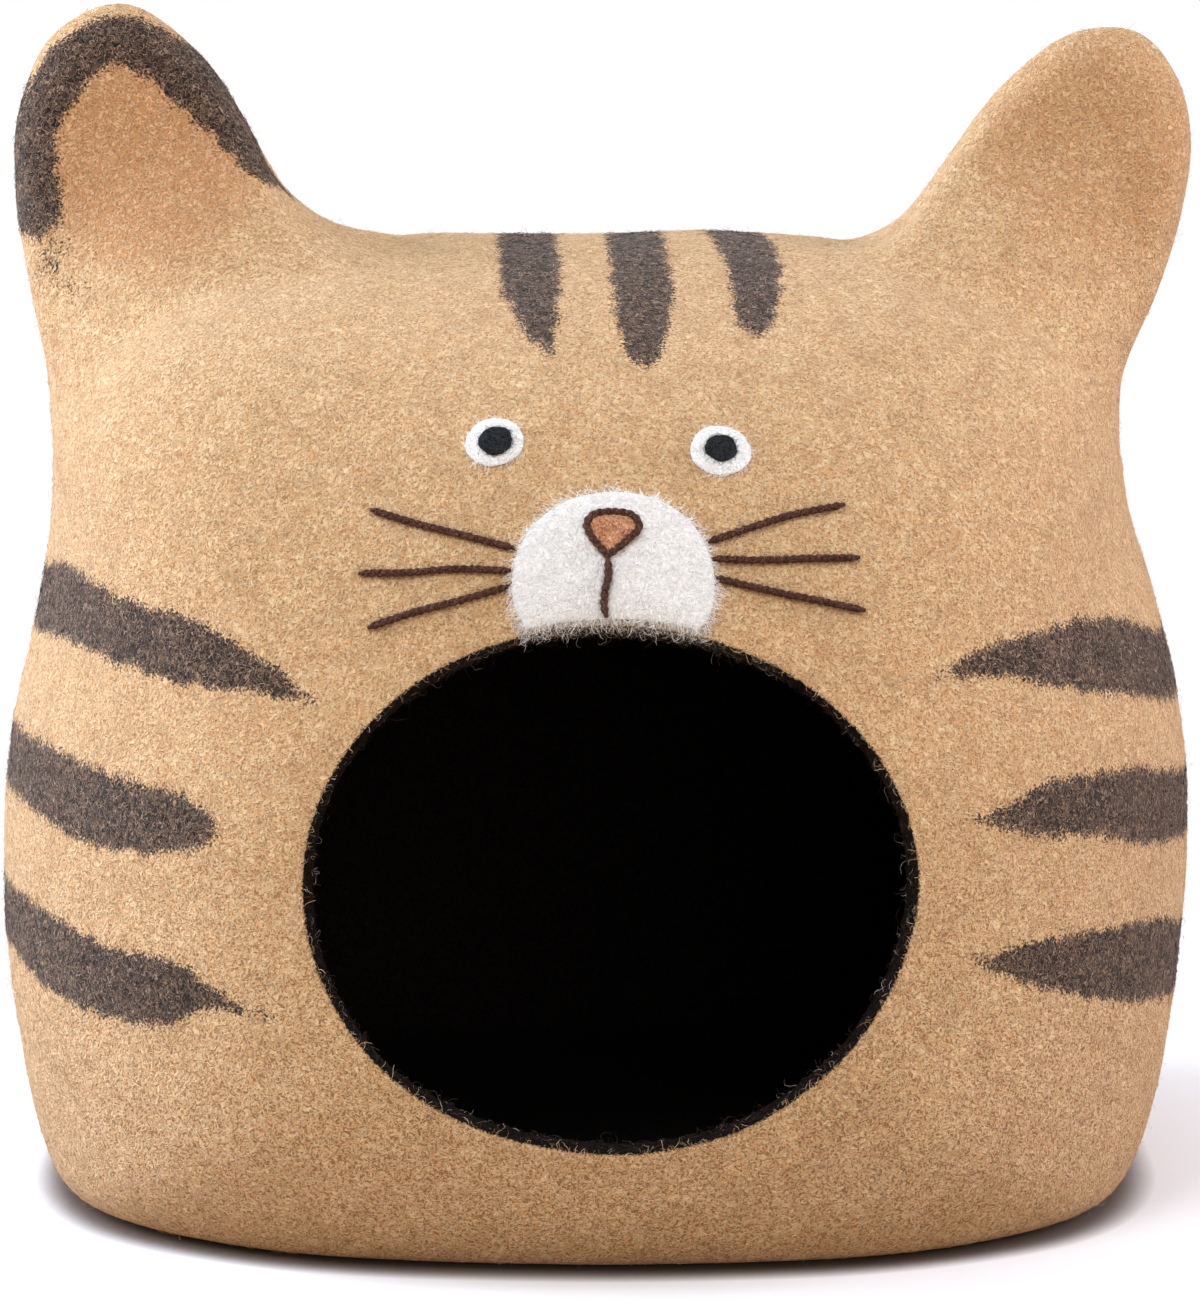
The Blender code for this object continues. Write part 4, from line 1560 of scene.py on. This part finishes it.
@dataclass(frozen=True)
class Ply:
    """Two-ply yarn: two strands twisted round each other along a route."""

    strand_mm: float = 0.98
    offset_mm: float = 0.38
    pitch_mm: float = 5.2
    step_mm: float = 0.5
    sides: int = 8
    end_steps: int = 5
    end_share: float = 0.45
    unevenness: float = 0.10

    def build(
        self,
        name: str,
        route: list[Vector],
        normals: list[Vector],
        material: bpy.types.Material,
        closed: bool = False,
    ) -> Piece:
        """Builds the yarn as one mesh of two closed strands.

        Args:
            name: the piece's name.
            route: the yarn's middle.
            normals: the shell's normal at each of its points.
            material: its wool.
            closed: whether it is a loop.

        Returns:
            The mesh object.
        """
        length = sum((b - a).length for a, b in zip(route, route[1:]))
        steps = max(12, round(length / (self.step_mm * MM)))
        line = evenly(route, steps)
        outs = [n.normalized() for n in evenly_normals(normals, steps)]
        if closed:
            line, outs = line[:-1], outs[:-1]
        turns = max(2, round(length / (self.pitch_mm * MM)))
        count = len(line)
        points: list[Vector] = []
        faces: list[tuple[int, ...]] = []
        for strand in range(2):
            start = len(points)
            for k, middle in enumerate(line):
                ahead = line[(k + 1) % count] if closed or k < count - 1 else middle
                behind = line[k - 1] if closed or k > 0 else middle
                forward = (ahead - behind).normalized()
                side = forward.cross(outs[k]).normalized()
                up = side.cross(forward)
                end = min(k, count - 1 - k) / self.end_steps
                taper = 1.0 if closed else min(1.0, self.end_share + (1 - self.end_share) * end)
                angle = math.tau * turns * k / steps + math.pi * strand
                slub = noise.noise(middle * 700 + Vector((strand, 0, 0)))
                fat = 1 + self.unevenness * slub
                away = (side * math.cos(angle) + up * math.sin(angle)) * self.offset_mm * MM * taper
                for s in range(self.sides):
                    a = math.tau * s / self.sides
                    ring = side * math.cos(a) + up * math.sin(a)
                    points.append(middle + away + ring * self.strand_mm * MM * fat * taper)
            for k in range(count if closed else count - 1):
                for s in range(self.sides):
                    a = start + k * self.sides + s
                    b = start + k * self.sides + (s + 1) % self.sides
                    after = ((k + 1) % count - k) * self.sides
                    faces.append((a, b, b + after, a + after))
            if not closed:
                faces.append(tuple(start + s for s in reversed(range(self.sides))))
                end_at = start + (count - 1) * self.sides
                faces.append(tuple(end_at + s for s in range(self.sides)))
        yarn = new_piece(name, points, faces)
        yarn.data.materials.append(material)
        return yarn


def evenly_normals(normals: list[Vector], steps: int) -> list[Vector]:
    """The normals of a route's own points, spread over its steps.

    Args:
        normals: one for each point of the route.
        steps: how many steps it is cut into.

    Returns:
        One normal more than there are steps.
    """
    found = []
    for k in range(steps + 1):
        place = k / steps * (len(normals) - 1)
        low = min(int(place), len(normals) - 2)
        found.append(normals[low].lerp(normals[low + 1], place - low))
    return found


class Eye(NamedTuple):
    """An eye's places and sizes, in metres, seen from the front."""

    side: str
    across: float
    height: float
    white_radius: float
    pupil_radius: float
    pupil_across: float
    pupil_up: float


class FacePieces(NamedTuple):
    """The face's pieces that loose wool grows on."""

    muzzle: Piece
    nose: Piece
    eyes: list[tuple[Piece, Piece]]
    yarns: list[Piece]


@dataclass
class Face:
    """The face on the shell: white muzzle, nose, mouth, eyes and whiskers.

    All in metres. A whisker is its name and the places it goes through, across and height.
    """

    ground: Ground
    form: CaveForm
    yarn: bpy.types.Material
    gap: float = 0.0004
    yarn_radius: float = 0.0012
    muzzle_middle: Point = Point(0.0061, 0.2268)
    muzzle_half_width: float = 0.0327
    muzzle_height: float = 0.0293
    muzzle_squareness: float = 2.15
    muzzle_tuck: float = 0.0022
    muzzle_above_door: float = 0.0004
    muzzle_thickness: float = 0.0030
    nose_outline: tuple[Point, ...] = (
        Point(0.0042, 0.2358), Point(-0.0008, 0.2412), Point(-0.0026, 0.2450),
        Point(-0.0008, 0.2478), Point(0.0062, 0.2488), Point(0.0124, 0.2475),
        Point(0.0142, 0.2442), Point(0.0108, 0.2406),
    )  # fmt: skip
    nose_inset: float = 0.90
    nose_thickness: float = 0.0016
    mouth_line: tuple[Point, ...] = (
        Point(0.0042, 0.2354), Point(0.0044, 0.2304), Point(0.0034, 0.2256), Point(0.0030, 0.2210),
        Point(0.0038, 0.2174),
    )  # fmt: skip
    eyes: tuple[Eye, ...] = (
        Eye("left", -0.0327, 0.2714, 0.0095, 0.0055, 0.0006, -0.0007),
        Eye("right", 0.0412, 0.2685, 0.0100, 0.0053, 0.0000, -0.0002),
    )
    finder_lift: float = 0.02
    eye_thickness: float = 0.0016
    pupil_thickness: float = 0.0012
    whiskers: tuple[tuple[str, tuple[tuple[float, float], ...]], ...] = (
        ("left_1", ((-0.0256, 0.2390), (-0.0450, 0.2432), (-0.0587, 0.2461), (-0.0730, 0.2498))),
        ("left_2", ((-0.0268, 0.2322), (-0.0450, 0.2324), (-0.0600, 0.2309), (-0.0764, 0.2301))),
        ("left_3", ((-0.0270, 0.2276), (-0.0450, 0.2224), (-0.0584, 0.2187), (-0.0733, 0.2134))),
        ("right_1", ((0.0366, 0.2408), (0.0513, 0.2452), (0.0624, 0.2483), (0.0815, 0.2515))),
        ("right_2", ((0.0380, 0.2357), (0.0530, 0.2351), (0.0690, 0.2353), (0.0860, 0.2352))),
        ("right_3", ((0.0386, 0.2300), (0.0579, 0.2254), (0.0715, 0.2226), (0.0876, 0.2188))),
    )

    def spot(self, place: Sequence[float]) -> tuple[Vector, Vector]:
        """The shell's point and smooth normal behind a place seen from the front."""
        found = self.ground.from_front(place[0], place[1])
        return found, self.ground.smooth_normal(found)

    def muzzle_edge(self, angle: float) -> Point:
        """The muzzle's edge: an arch that tucks in at its corners and follows the door."""
        form, middle = self.form, self.muzzle_middle
        power = 2 / self.muzzle_squareness
        x = math.copysign(abs(math.cos(angle)) ** power, math.cos(angle))
        if angle <= math.pi:
            z = abs(math.sin(angle)) ** power
            return Point(
                middle.across + self.muzzle_half_width * x, middle.height + self.muzzle_height * z
            )
        down = min(1.0, -math.sin(angle) * 2.2)
        across = middle.across + (self.muzzle_half_width - self.muzzle_tuck * down * down) * x
        share = (across - form.door_middle.across) / form.door_half_width
        top = form.door_middle.height + form.door_half_height * math.sqrt(1 - share * share)
        foot = top + self.muzzle_above_door
        return Point(across, middle.height * (1 - down) + foot * down)

    def build_muzzle(self) -> Piece:
        """The white patch over the door."""
        middle = Vector(
            (self.muzzle_middle.across, self.muzzle_middle.height + self.muzzle_height * 0.3)
        )

        def at(share: float, angle: float) -> tuple[Vector, Vector]:
            """A point of the muzzle and the shell's normal there."""
            return self.spot(middle.lerp(Vector(self.muzzle_edge(angle)), share))

        patch = Patch("muzzle_felt", 96, 22, self.muzzle_thickness, self.gap)
        muzzle = patch.build(at, WHITE_FELT.material(), wobble=0.0006)
        settle_in(muzzle, Wool.WHITE, "muzzle")
        return muzzle

    def build_nose(self) -> list[Piece]:
        """The nose's felt, the yarn round it and the mouth's line."""
        lift = self.muzzle_thickness + 2 * self.gap
        outline = smooth_curve([Vector(p) for p in (*self.nose_outline, self.nose_outline[0])])
        loop = evenly(outline, 60)
        middle = sum(loop[:-1], Vector((0, 0))) / 60

        def at(share: float, angle: float) -> tuple[Vector, Vector]:
            """A point of the nose and the shell's normal there."""
            turn = 1 - (angle / math.tau) % 1.0
            return self.spot(middle.lerp(walk(outline, [turn])[0], share * self.nose_inset))

        nose = Patch("nose_felt", 48, 12, self.nose_thickness, lift).build(
            at, NOSE_FELT.material(), wobble=0.0005
        )
        settle_in(nose, Wool.TERRACOTTA, "nose")
        rim = self.stitch("nose_yarn", loop, lift + self.yarn_radius * 0.8, closed=True)
        settle_in(rim, Wool.YARN, "nose_outline")
        line = evenly(smooth_curve([Vector(p) for p in self.mouth_line]), 14)
        mouth = self.stitch("mouth_yarn", line, lift + self.yarn_radius * 0.6)
        settle_in(mouth, Wool.YARN, "mouth_line")
        return [nose, rim, mouth]

    def stitch(self, name: str, line: list[Vector], lift: float, closed: bool = False) -> Piece:
        """Yarn laid on the shell along a line seen from the front.

        Args:
            name: the piece's name.
            line: the line's points, across and height.
            lift: how far its middle stands off the shell.
            closed: whether it is a loop.

        Returns:
            The mesh object.
        """
        spots = [self.spot(p) for p in line]
        route = [spot + out * lift for spot, out in spots]
        return Ply().build(name, route, [out for _, out in spots], self.yarn, closed)

    def disc(
        self, eye: tuple[Vector, Vector, Vector], middle: Vector, radius: float, uneven: float
    ) -> Layout:
        """Lays out a round patch that isn't quite round.

        Args:
            eye: the ways across, up and out from the shell at the eye.
            middle: the patch's middle.
            radius: its reach.
            uneven: how far its edge waves in and out, as a share of the radius.

        Returns:
            A function that gives the shell's point and normal at a share and an angle.
        """
        across, up, out = eye

        def at(share: float, angle: float) -> tuple[Vector, Vector]:
            """A point of the disc and the shell's normal there."""
            wave = math.sin(3 * angle + radius * 900) + math.sin(5 * angle + middle.x * 90)
            reach = radius * (1 + uneven * (wave + 0.6 * math.sin(11 * angle)))
            flat = across * math.cos(angle) + up * math.sin(angle)
            hit, _ = self.ground.hit(middle + flat * share * reach + out * self.finder_lift, -out)
            return hit, self.ground.smooth_normal(hit)

        return at

    def build_eyes(self) -> list[tuple[Piece, Piece]]:
        """Both eyes: a white disc and a black one on it."""
        white, black = WHITE_FELT.material(), BLACK_FELT.material()
        on_eye = self.eye_thickness + 1.5 * self.gap
        made = []
        for eye in self.eyes:
            found, out = self.spot((eye.across, eye.height))
            across = Vector((0, 0, 1)).cross(out).normalized()
            ways = (across, out.cross(across), out)
            patch = Patch("eye_felt_" + eye.side, 48, 14, self.eye_thickness, self.gap)
            at = self.disc(ways, found, eye.white_radius, 0.012)
            ball = patch.build(at, white, wobble=0.0003)
            settle_in(ball, Wool.WHITE, "eye_" + eye.side)
            place = found + ways[0] * eye.pupil_across + ways[1] * eye.pupil_up
            patch = Patch("pupil_felt_" + eye.side, 36, 10, self.pupil_thickness, on_eye)
            at = self.disc(ways, place, eye.pupil_radius, 0.025)
            pupil = patch.build(at, black, wobble=0.0004)
            settle_in(pupil, Wool.BLACK, "pupil_" + eye.side)
            made.append((ball, pupil))
        return made

    def build_whiskers(self) -> list[Piece]:
        """Three stitched lengths of yarn on each side."""
        made = []
        for name, places in self.whiskers:
            line = evenly(smooth_curve([Vector(p) for p in places]), 30)
            whisker = self.stitch("whisker_yarn_" + name, line, self.yarn_radius)
            settle_in(whisker, Wool.YARN, "whisker_" + name)
            made.append(whisker)
        return made

    def build(self) -> FacePieces:
        """Makes the whole face.

        Returns:
            The pieces that loose wool grows on.
        """
        muzzle = self.build_muzzle()
        nose, rim, mouth = self.build_nose()
        eyes = self.build_eyes()
        return FacePieces(muzzle, nose, eyes, [rim, mouth, *self.build_whiskers()])


# ---------------------------------------------------------------- loose fibres


@dataclass
class Fuzz:
    """All the loose wool on the cave."""

    ground: Ground

    def outside(self, middles: np.ndarray, index: np.ndarray) -> np.ndarray:
        """1 on the tan side of the wall and 0 on the dark one."""
        return (self.ground.slots[index] == 0) * (middles[:, 2] > 0.002)

    def stripe_at(self, index: np.ndarray) -> np.ndarray:
        """How far inside a stripe each triangle's middle is, in millimetres."""
        return self.ground.values["stripe"][self.ground.triangles[index]].mean(axis=1)

    def door_at(self, index: np.ndarray) -> np.ndarray:
        """How far from the door's edge each triangle's middle is, in metres."""
        return self.ground.values["from_door"][self.ground.triangles[index]].mean(axis=1)

    def build(self) -> None:
        """Grows every coat on the shell."""
        tan = TAN_FIBRE.material()
        for coat, weigh in (
            (
                FibreCoat("wool_fuzz_front", 24000, (2.0, 6.5), 0.15, (0.1, 0.7), 0.60, 11),
                lambda m, i: self.outside(m, i) * (m[:, 1] < 0.0) * (self.stripe_at(i) < 2),
            ),
            (
                FibreCoat("wool_fuzz_back", 17000, (2.5, 7.0), 0.16, (0.1, 0.8), 0.60, 12),
                lambda m, i: self.outside(m, i) * (m[:, 1] >= 0.0) * (self.stripe_at(i) < 2),
            ),
            (
                FibreCoat("wool_flyaways", 4500, (3.0, 8.0), 0.09, (0.5, 2.6), 0.55, 13, bends=5),
                lambda m, i: self.outside(m, i) * (self.door_at(i) > 0.01),
            ),
            (
                FibreCoat("stripe_wool", 20000, (2.0, 5.5), 0.17, (0.1, 0.8), 0.65, 14),
                lambda m, i: self.outside(m, i) * np.clip((self.stripe_at(i) + 3.0) / 3.0, 0, 1),
            ),
        ):
            cover(self.ground, coat, weigh, tan, Wool.TAN)
        self.build_rim()

    def build_rim(self) -> None:
        """Curls of wool round the door's rim: tan, charcoal and a few white."""

        def lip(m: np.ndarray, i: np.ndarray) -> np.ndarray:
            """How thickly curls grow on the tan just outside the door's edge."""
            return (self.ground.slots[i] == 0) * (self.door_at(i) < 0.005) * (m[:, 1] < -0.05)

        def inner_edge(m: np.ndarray, i: np.ndarray) -> np.ndarray:
            """How thickly curls grow on the dark side of the rim, most of all over the door."""
            over = np.exp(-(((m[:, 0] - 0.010) / 0.045) ** 2)) * (m[:, 2] > 0.20)
            here = (self.ground.slots[i] == 1) * (self.door_at(i) < 0.004) * (m[:, 1] < -0.05)
            return here * (0.35 + 2.5 * over)

        def under_muzzle(m: np.ndarray, i: np.ndarray) -> np.ndarray:
            """How thickly mixed curls grow on the rim's strip below the muzzle."""
            here = (self.door_at(i) < 0.0045) * (m[:, 1] < -0.05) * (m[:, 2] > 0.20)
            return here * (self.ground.slots[i] == 0) * (np.abs(m[:, 0] - 0.006) < 0.031)

        for coat, weigh, finish in (
            (FibreCoat("rim_fuzz", 2600, (1.5, 4), 0.12, (0.1, 0.6), 0.7, 21), lip, TAN_FIBRE),
            (
                FibreCoat("rim_curls_dark", 4200, (3, 8), 0.14, (0.3, 1.9), 0.8, 22, bends=7),
                inner_edge,
                RIM_FIBRE,
            ),
            (
                FibreCoat("rim_curls_grey", 850, (3, 8), 0.10, (0.3, 1.8), 0.8, 23, bends=7),
                inner_edge,
                RIM_WHITE,
            ),
            (
                FibreCoat("muzzle_foot_curls", 2000, (2, 6.5), 0.13, (0.2, 1.2), 0.8, 24, bends=5),
                under_muzzle,
                FOOT_FIBRE,
            ),
        ):
            cover(self.ground, coat, weigh, finish.material(), Wool.TAN)

    @staticmethod
    def build_on_face(face: FacePieces) -> None:
        """Wool brushed over the muzzle, the nose, the eyes and the yarn."""

        def front(of: Ground) -> Weight:
            """1 on the faces of a piece that look out, and 0 on the others."""
            return lambda m, i: of.normals[of.triangles[i]].mean(axis=1)[:, 1] < -0.1

        def away_from_nose(root: np.ndarray) -> np.ndarray:
            """The way that the muzzle's wool lies: out to both sides and down."""
            return np.column_stack(
                [(root[:, 0] - 0.006) * 22, np.zeros(len(root)), (root[:, 2] - 0.252) * 26]
            )

        def down(root: np.ndarray) -> np.ndarray:
            """The way that the nose's wool lies."""
            return np.tile([0.5, 0.0, -1.2], (len(root), 1))

        def round_eye(root: np.ndarray) -> np.ndarray:
            """The way that an eye's wool lies: round and round, as it was rolled."""
            return 160 * np.cross(root - middle, np.array([0.0, -1.0, 0.4]))

        white = WHITE_FIBRE.material()
        ground = Ground(face.muzzle)
        coat = FibreCoat("muzzle_fuzz", 6500, (2.5, 7.5), 0.14, (0.05, 0.8), 0.25, 31)
        cover(ground, coat, front(ground), white, Wool.WHITE, away_from_nose)
        ground = Ground(face.nose)
        coat = FibreCoat("nose_wool", 600, (2.0, 5.0), 0.20, (0.10, 0.60), 0.25, 32)
        cover(ground, coat, front(ground), NOSE_FIBRE.material(), Wool.TERRACOTTA, down)
        for number, (ball, pupil) in enumerate(face.eyes):
            ground = Ground(ball)
            middle = ground.points.mean(axis=0)
            name = "eye_wool_" + ball.name.rsplit("_", 1)[1]
            coat = FibreCoat(name, 640, (2, 6), 0.12, (0.05, 0.6), 0.3, 33 + number)
            cover(ground, coat, front(ground), white, Wool.WHITE, round_eye)
            ground = Ground(pupil)
            name = "pupil_wool_" + pupil.name.rsplit("_", 1)[1]
            coat = FibreCoat(name, 420, (1.5, 4), 0.13, (0.05, 0.5), 0.6, 36 + number)
            cover(ground, coat, front(ground), PUPIL_FIBRE.material(), Wool.BLACK)
        fuzz = YARN_FIBRE.material()
        for number, strand in enumerate(face.yarns):
            ground = Ground(strand)
            count = int(14 * np.ptp(ground.points, axis=0).max() / MM)
            name = strand.name + "_fuzz"
            coat = FibreCoat(name, count, (1.5, 4), 0.08, (0.1, 0.7), 0.5, 50 + number)
            cover(ground, coat, lambda m, i: np.ones(len(m)), fuzz, Wool.YARN)


# ---------------------------------------------------------------- floor, light and camera


class Lamp(NamedTuple):
    """A round soft light: its place and size in metres, its watts and its colour."""

    name: str
    place: tuple[float, float, float]
    size: float
    watts: float
    colour: str


@dataclass(frozen=True)
class Studio:
    """A pale floor, soft light from the upper left and the photo's camera.

    Sizes in metres. The two cards' colours are what the camera sees and what lights the felt.
    """

    camera_away: float = 2.0
    camera_rise_degrees: float = 8.0
    focus_px: float = 5624.0
    image_height_px: int = 1307
    aim_across: float = 0.00178
    aim_height: float = 0.181
    sky: float = 0.44
    below: Colour = (0.85, 0.62, 0.42, 1.0)
    bounce: Colour = (0.46, 0.34, 0.24, 1.0)
    lights: tuple[Lamp, ...] = (
        Lamp("key", (-0.9, -1.7, 2.1), 1.2, 31.0, "#ffffff"),
        Lamp("front", (0.6, -2.4, 0.6), 1.4, 12.5, "#fff8f0"),
        Lamp("left_edge", (-2.0, 0.5, 1.0), 1.4, 80.0, "#e3edff"),
        Lamp("right_edge", (2.0, 0.1, 1.0), 1.4, 36.0, "#f8f4ff"),
        Lamp("top", (0.1, 0.5, 2.6), 1.8, 7.0, "#ffffff"),
    )
    lamp_aim: Vector = field(default_factory=lambda: Vector((0, 0, 0.18)))
    shadow_reach: tuple[float, float] = (0.22, 0.36)
    # The contact fields paint a shadow into the card where the cave nearly touches the floor.
    contact_reach: float = 0.012
    contact_range: tuple[float, float] = (0.38, 0.98)
    painted_contact_shadow_colour: Colour = (0.14, 0.11, 0.095, 1.0)
    card_colour: Colour = (0.93, 0.95, 0.99, 1.0)
    floor_half_width: float = 40.0

    def build_camera(self) -> None:
        """The camera at the photo's angle."""
        data = bpy.data.cameras.new("camera")
        data.sensor_fit = "AUTO"
        data.sensor_width = 36
        data.lens = self.focus_px * data.sensor_width / self.image_height_px
        camera = bpy.data.objects.new("camera", data)
        rise = math.radians(self.camera_rise_degrees)
        camera.location = (
            self.aim_across,
            -self.camera_away * math.cos(rise),
            self.aim_height + self.camera_away * math.sin(rise),
        )
        camera.rotation_euler = (math.pi / 2 - rise, 0, 0)
        bpy.context.scene.collection.objects.link(camera)
        bpy.context.scene.camera = camera

    def build_floor(self) -> None:
        """A wide white floor that keeps the cave's own soft shadow, with a painted contact shadow,
        and nothing else.
        """
        reach = self.floor_half_width
        corners = [(-reach, -reach, 0), (reach, -reach, 0), (reach, reach, 0), (-reach, reach, 0)]
        floor = new_piece("studio_floor", [Vector(c) for c in corners], [(0, 1, 2, 3)])
        material, tree, output = blank_material("matt_white_card")
        # Painted contact shadow: the card is darkest where the cave nearly touches it, which sets
        # the cave down on the floor.
        open_sky = add_node(
            tree, "AmbientOcclusion", {"Distance": self.contact_reach}, samples=6
        ).outputs["AO"]
        low, high = self.contact_range
        clear = add_node(
            tree, "MapRange", {"Value": open_sky, "From Min": low, "From Max": high}
        ).outputs["Result"]
        card_with_painted_shadow = add_node(
            tree,
            "MixRGB",
            {"Fac": clear, "Color1": self.painted_contact_shadow_colour, "Color2": self.card_colour},
        ).outputs["Color"]
        seen_card, bounce_card = (
            add_node(
                tree,
                "BsdfPrincipled",
                {"Base Color": colour, "Roughness": 0.9, "Specular IOR Level": 0.0},
            ).outputs["BSDF"]
            for colour in (card_with_painted_shadow, self.bounce)
        )
        # Further off than its shadow, the card glows plain white and runs into the backdrop.
        white = add_node(tree, "Emission", {"Color": (1, 1, 1, 1), "Strength": 1.0})
        place = add_node(tree, "TexCoord").outputs["Object"]
        away = add_node(tree, "VectorMath", {0: place}, operation="LENGTH").outputs["Value"]
        near, far = self.shadow_reach
        share = add_node(
            tree,
            "MapRange",
            {"Value": away, "From Min": near, "From Max": far},
            interpolation_type="SMOOTHSTEP",
        ).outputs["Result"]
        lit = add_node(tree, "MixShader", {0: share, 1: seen_card, 2: white.outputs["Emission"]})
        seen = add_node(tree, "LightPath").outputs["Is Camera Ray"]
        surface = add_node(tree, "MixShader", {0: seen, 1: bounce_card, 2: lit.outputs["Shader"]})
        tree.links.new(surface.outputs["Shader"], output.inputs["Surface"])
        floor.data.materials.append(material)

    def build_light(self) -> None:
        """A white backdrop, a dimmer sky that is warm from below, and the soft round lights."""
        world = bpy.data.worlds.new("studio")
        bpy.context.scene.world = world
        world.use_nodes = True
        tree = world.node_tree
        tree.nodes.clear()
        seen = add_node(tree, "LightPath").outputs["Is Camera Ray"]
        place = add_node(tree, "TexCoord").outputs["Generated"]
        height = add_node(tree, "SeparateXYZ", {0: place}).outputs["Z"]
        above = add_node(
            tree, "MapRange", {"Value": height, "From Min": -0.35, "From Max": 0.25}
        ).outputs["Result"]
        colour = add_node(
            tree, "MixRGB", {"Fac": above, "Color1": self.below, "Color2": (1, 1, 1, 1)}
        )
        sky = add_node(
            tree, "Background", {"Color": colour.outputs["Color"], "Strength": self.sky}
        )
        backdrop = add_node(tree, "Background", {"Color": (1, 1, 1, 1), "Strength": 1.0})
        both = add_node(
            tree,
            "MixShader",
            {0: seen, 1: sky.outputs["Background"], 2: backdrop.outputs["Background"]},
        )
        add_node(tree, "OutputWorld", {"Surface": both.outputs["Shader"]})
        for lamp in self.lights:
            data = bpy.data.lights.new(lamp.name, "AREA")
            data.shape = "DISK"
            data.size = lamp.size
            data.energy = lamp.watts
            data.color = linear(lamp.colour)[:3]
            light = bpy.data.objects.new(lamp.name, data)
            light.location = lamp.place
            aim = self.lamp_aim - Vector(lamp.place)
            light.rotation_euler = aim.to_track_quat("-Z", "Y").to_euler()
            bpy.context.scene.collection.objects.link(light)
        bpy.context.scene.view_settings.view_transform = "Standard"

    def build(self) -> None:
        """Sets up the whole studio."""
        self.build_camera()
        self.build_floor()
        self.build_light()
        log.info("studio: %d lights", len(self.lights))


def main() -> None:
    """Builds the cave piece by piece and sets up the studio."""
    logging.basicConfig(level=logging.INFO, format="%(name)s: %(message)s")
    Studio().build()
    shell = Shell()
    ground = shell.build()
    face = Face(ground, shell.form, YARN.material()).build()
    fuzz = Fuzz(ground)
    fuzz.build()
    fuzz.build_on_face(face)


if __name__ == "__main__":
    main()
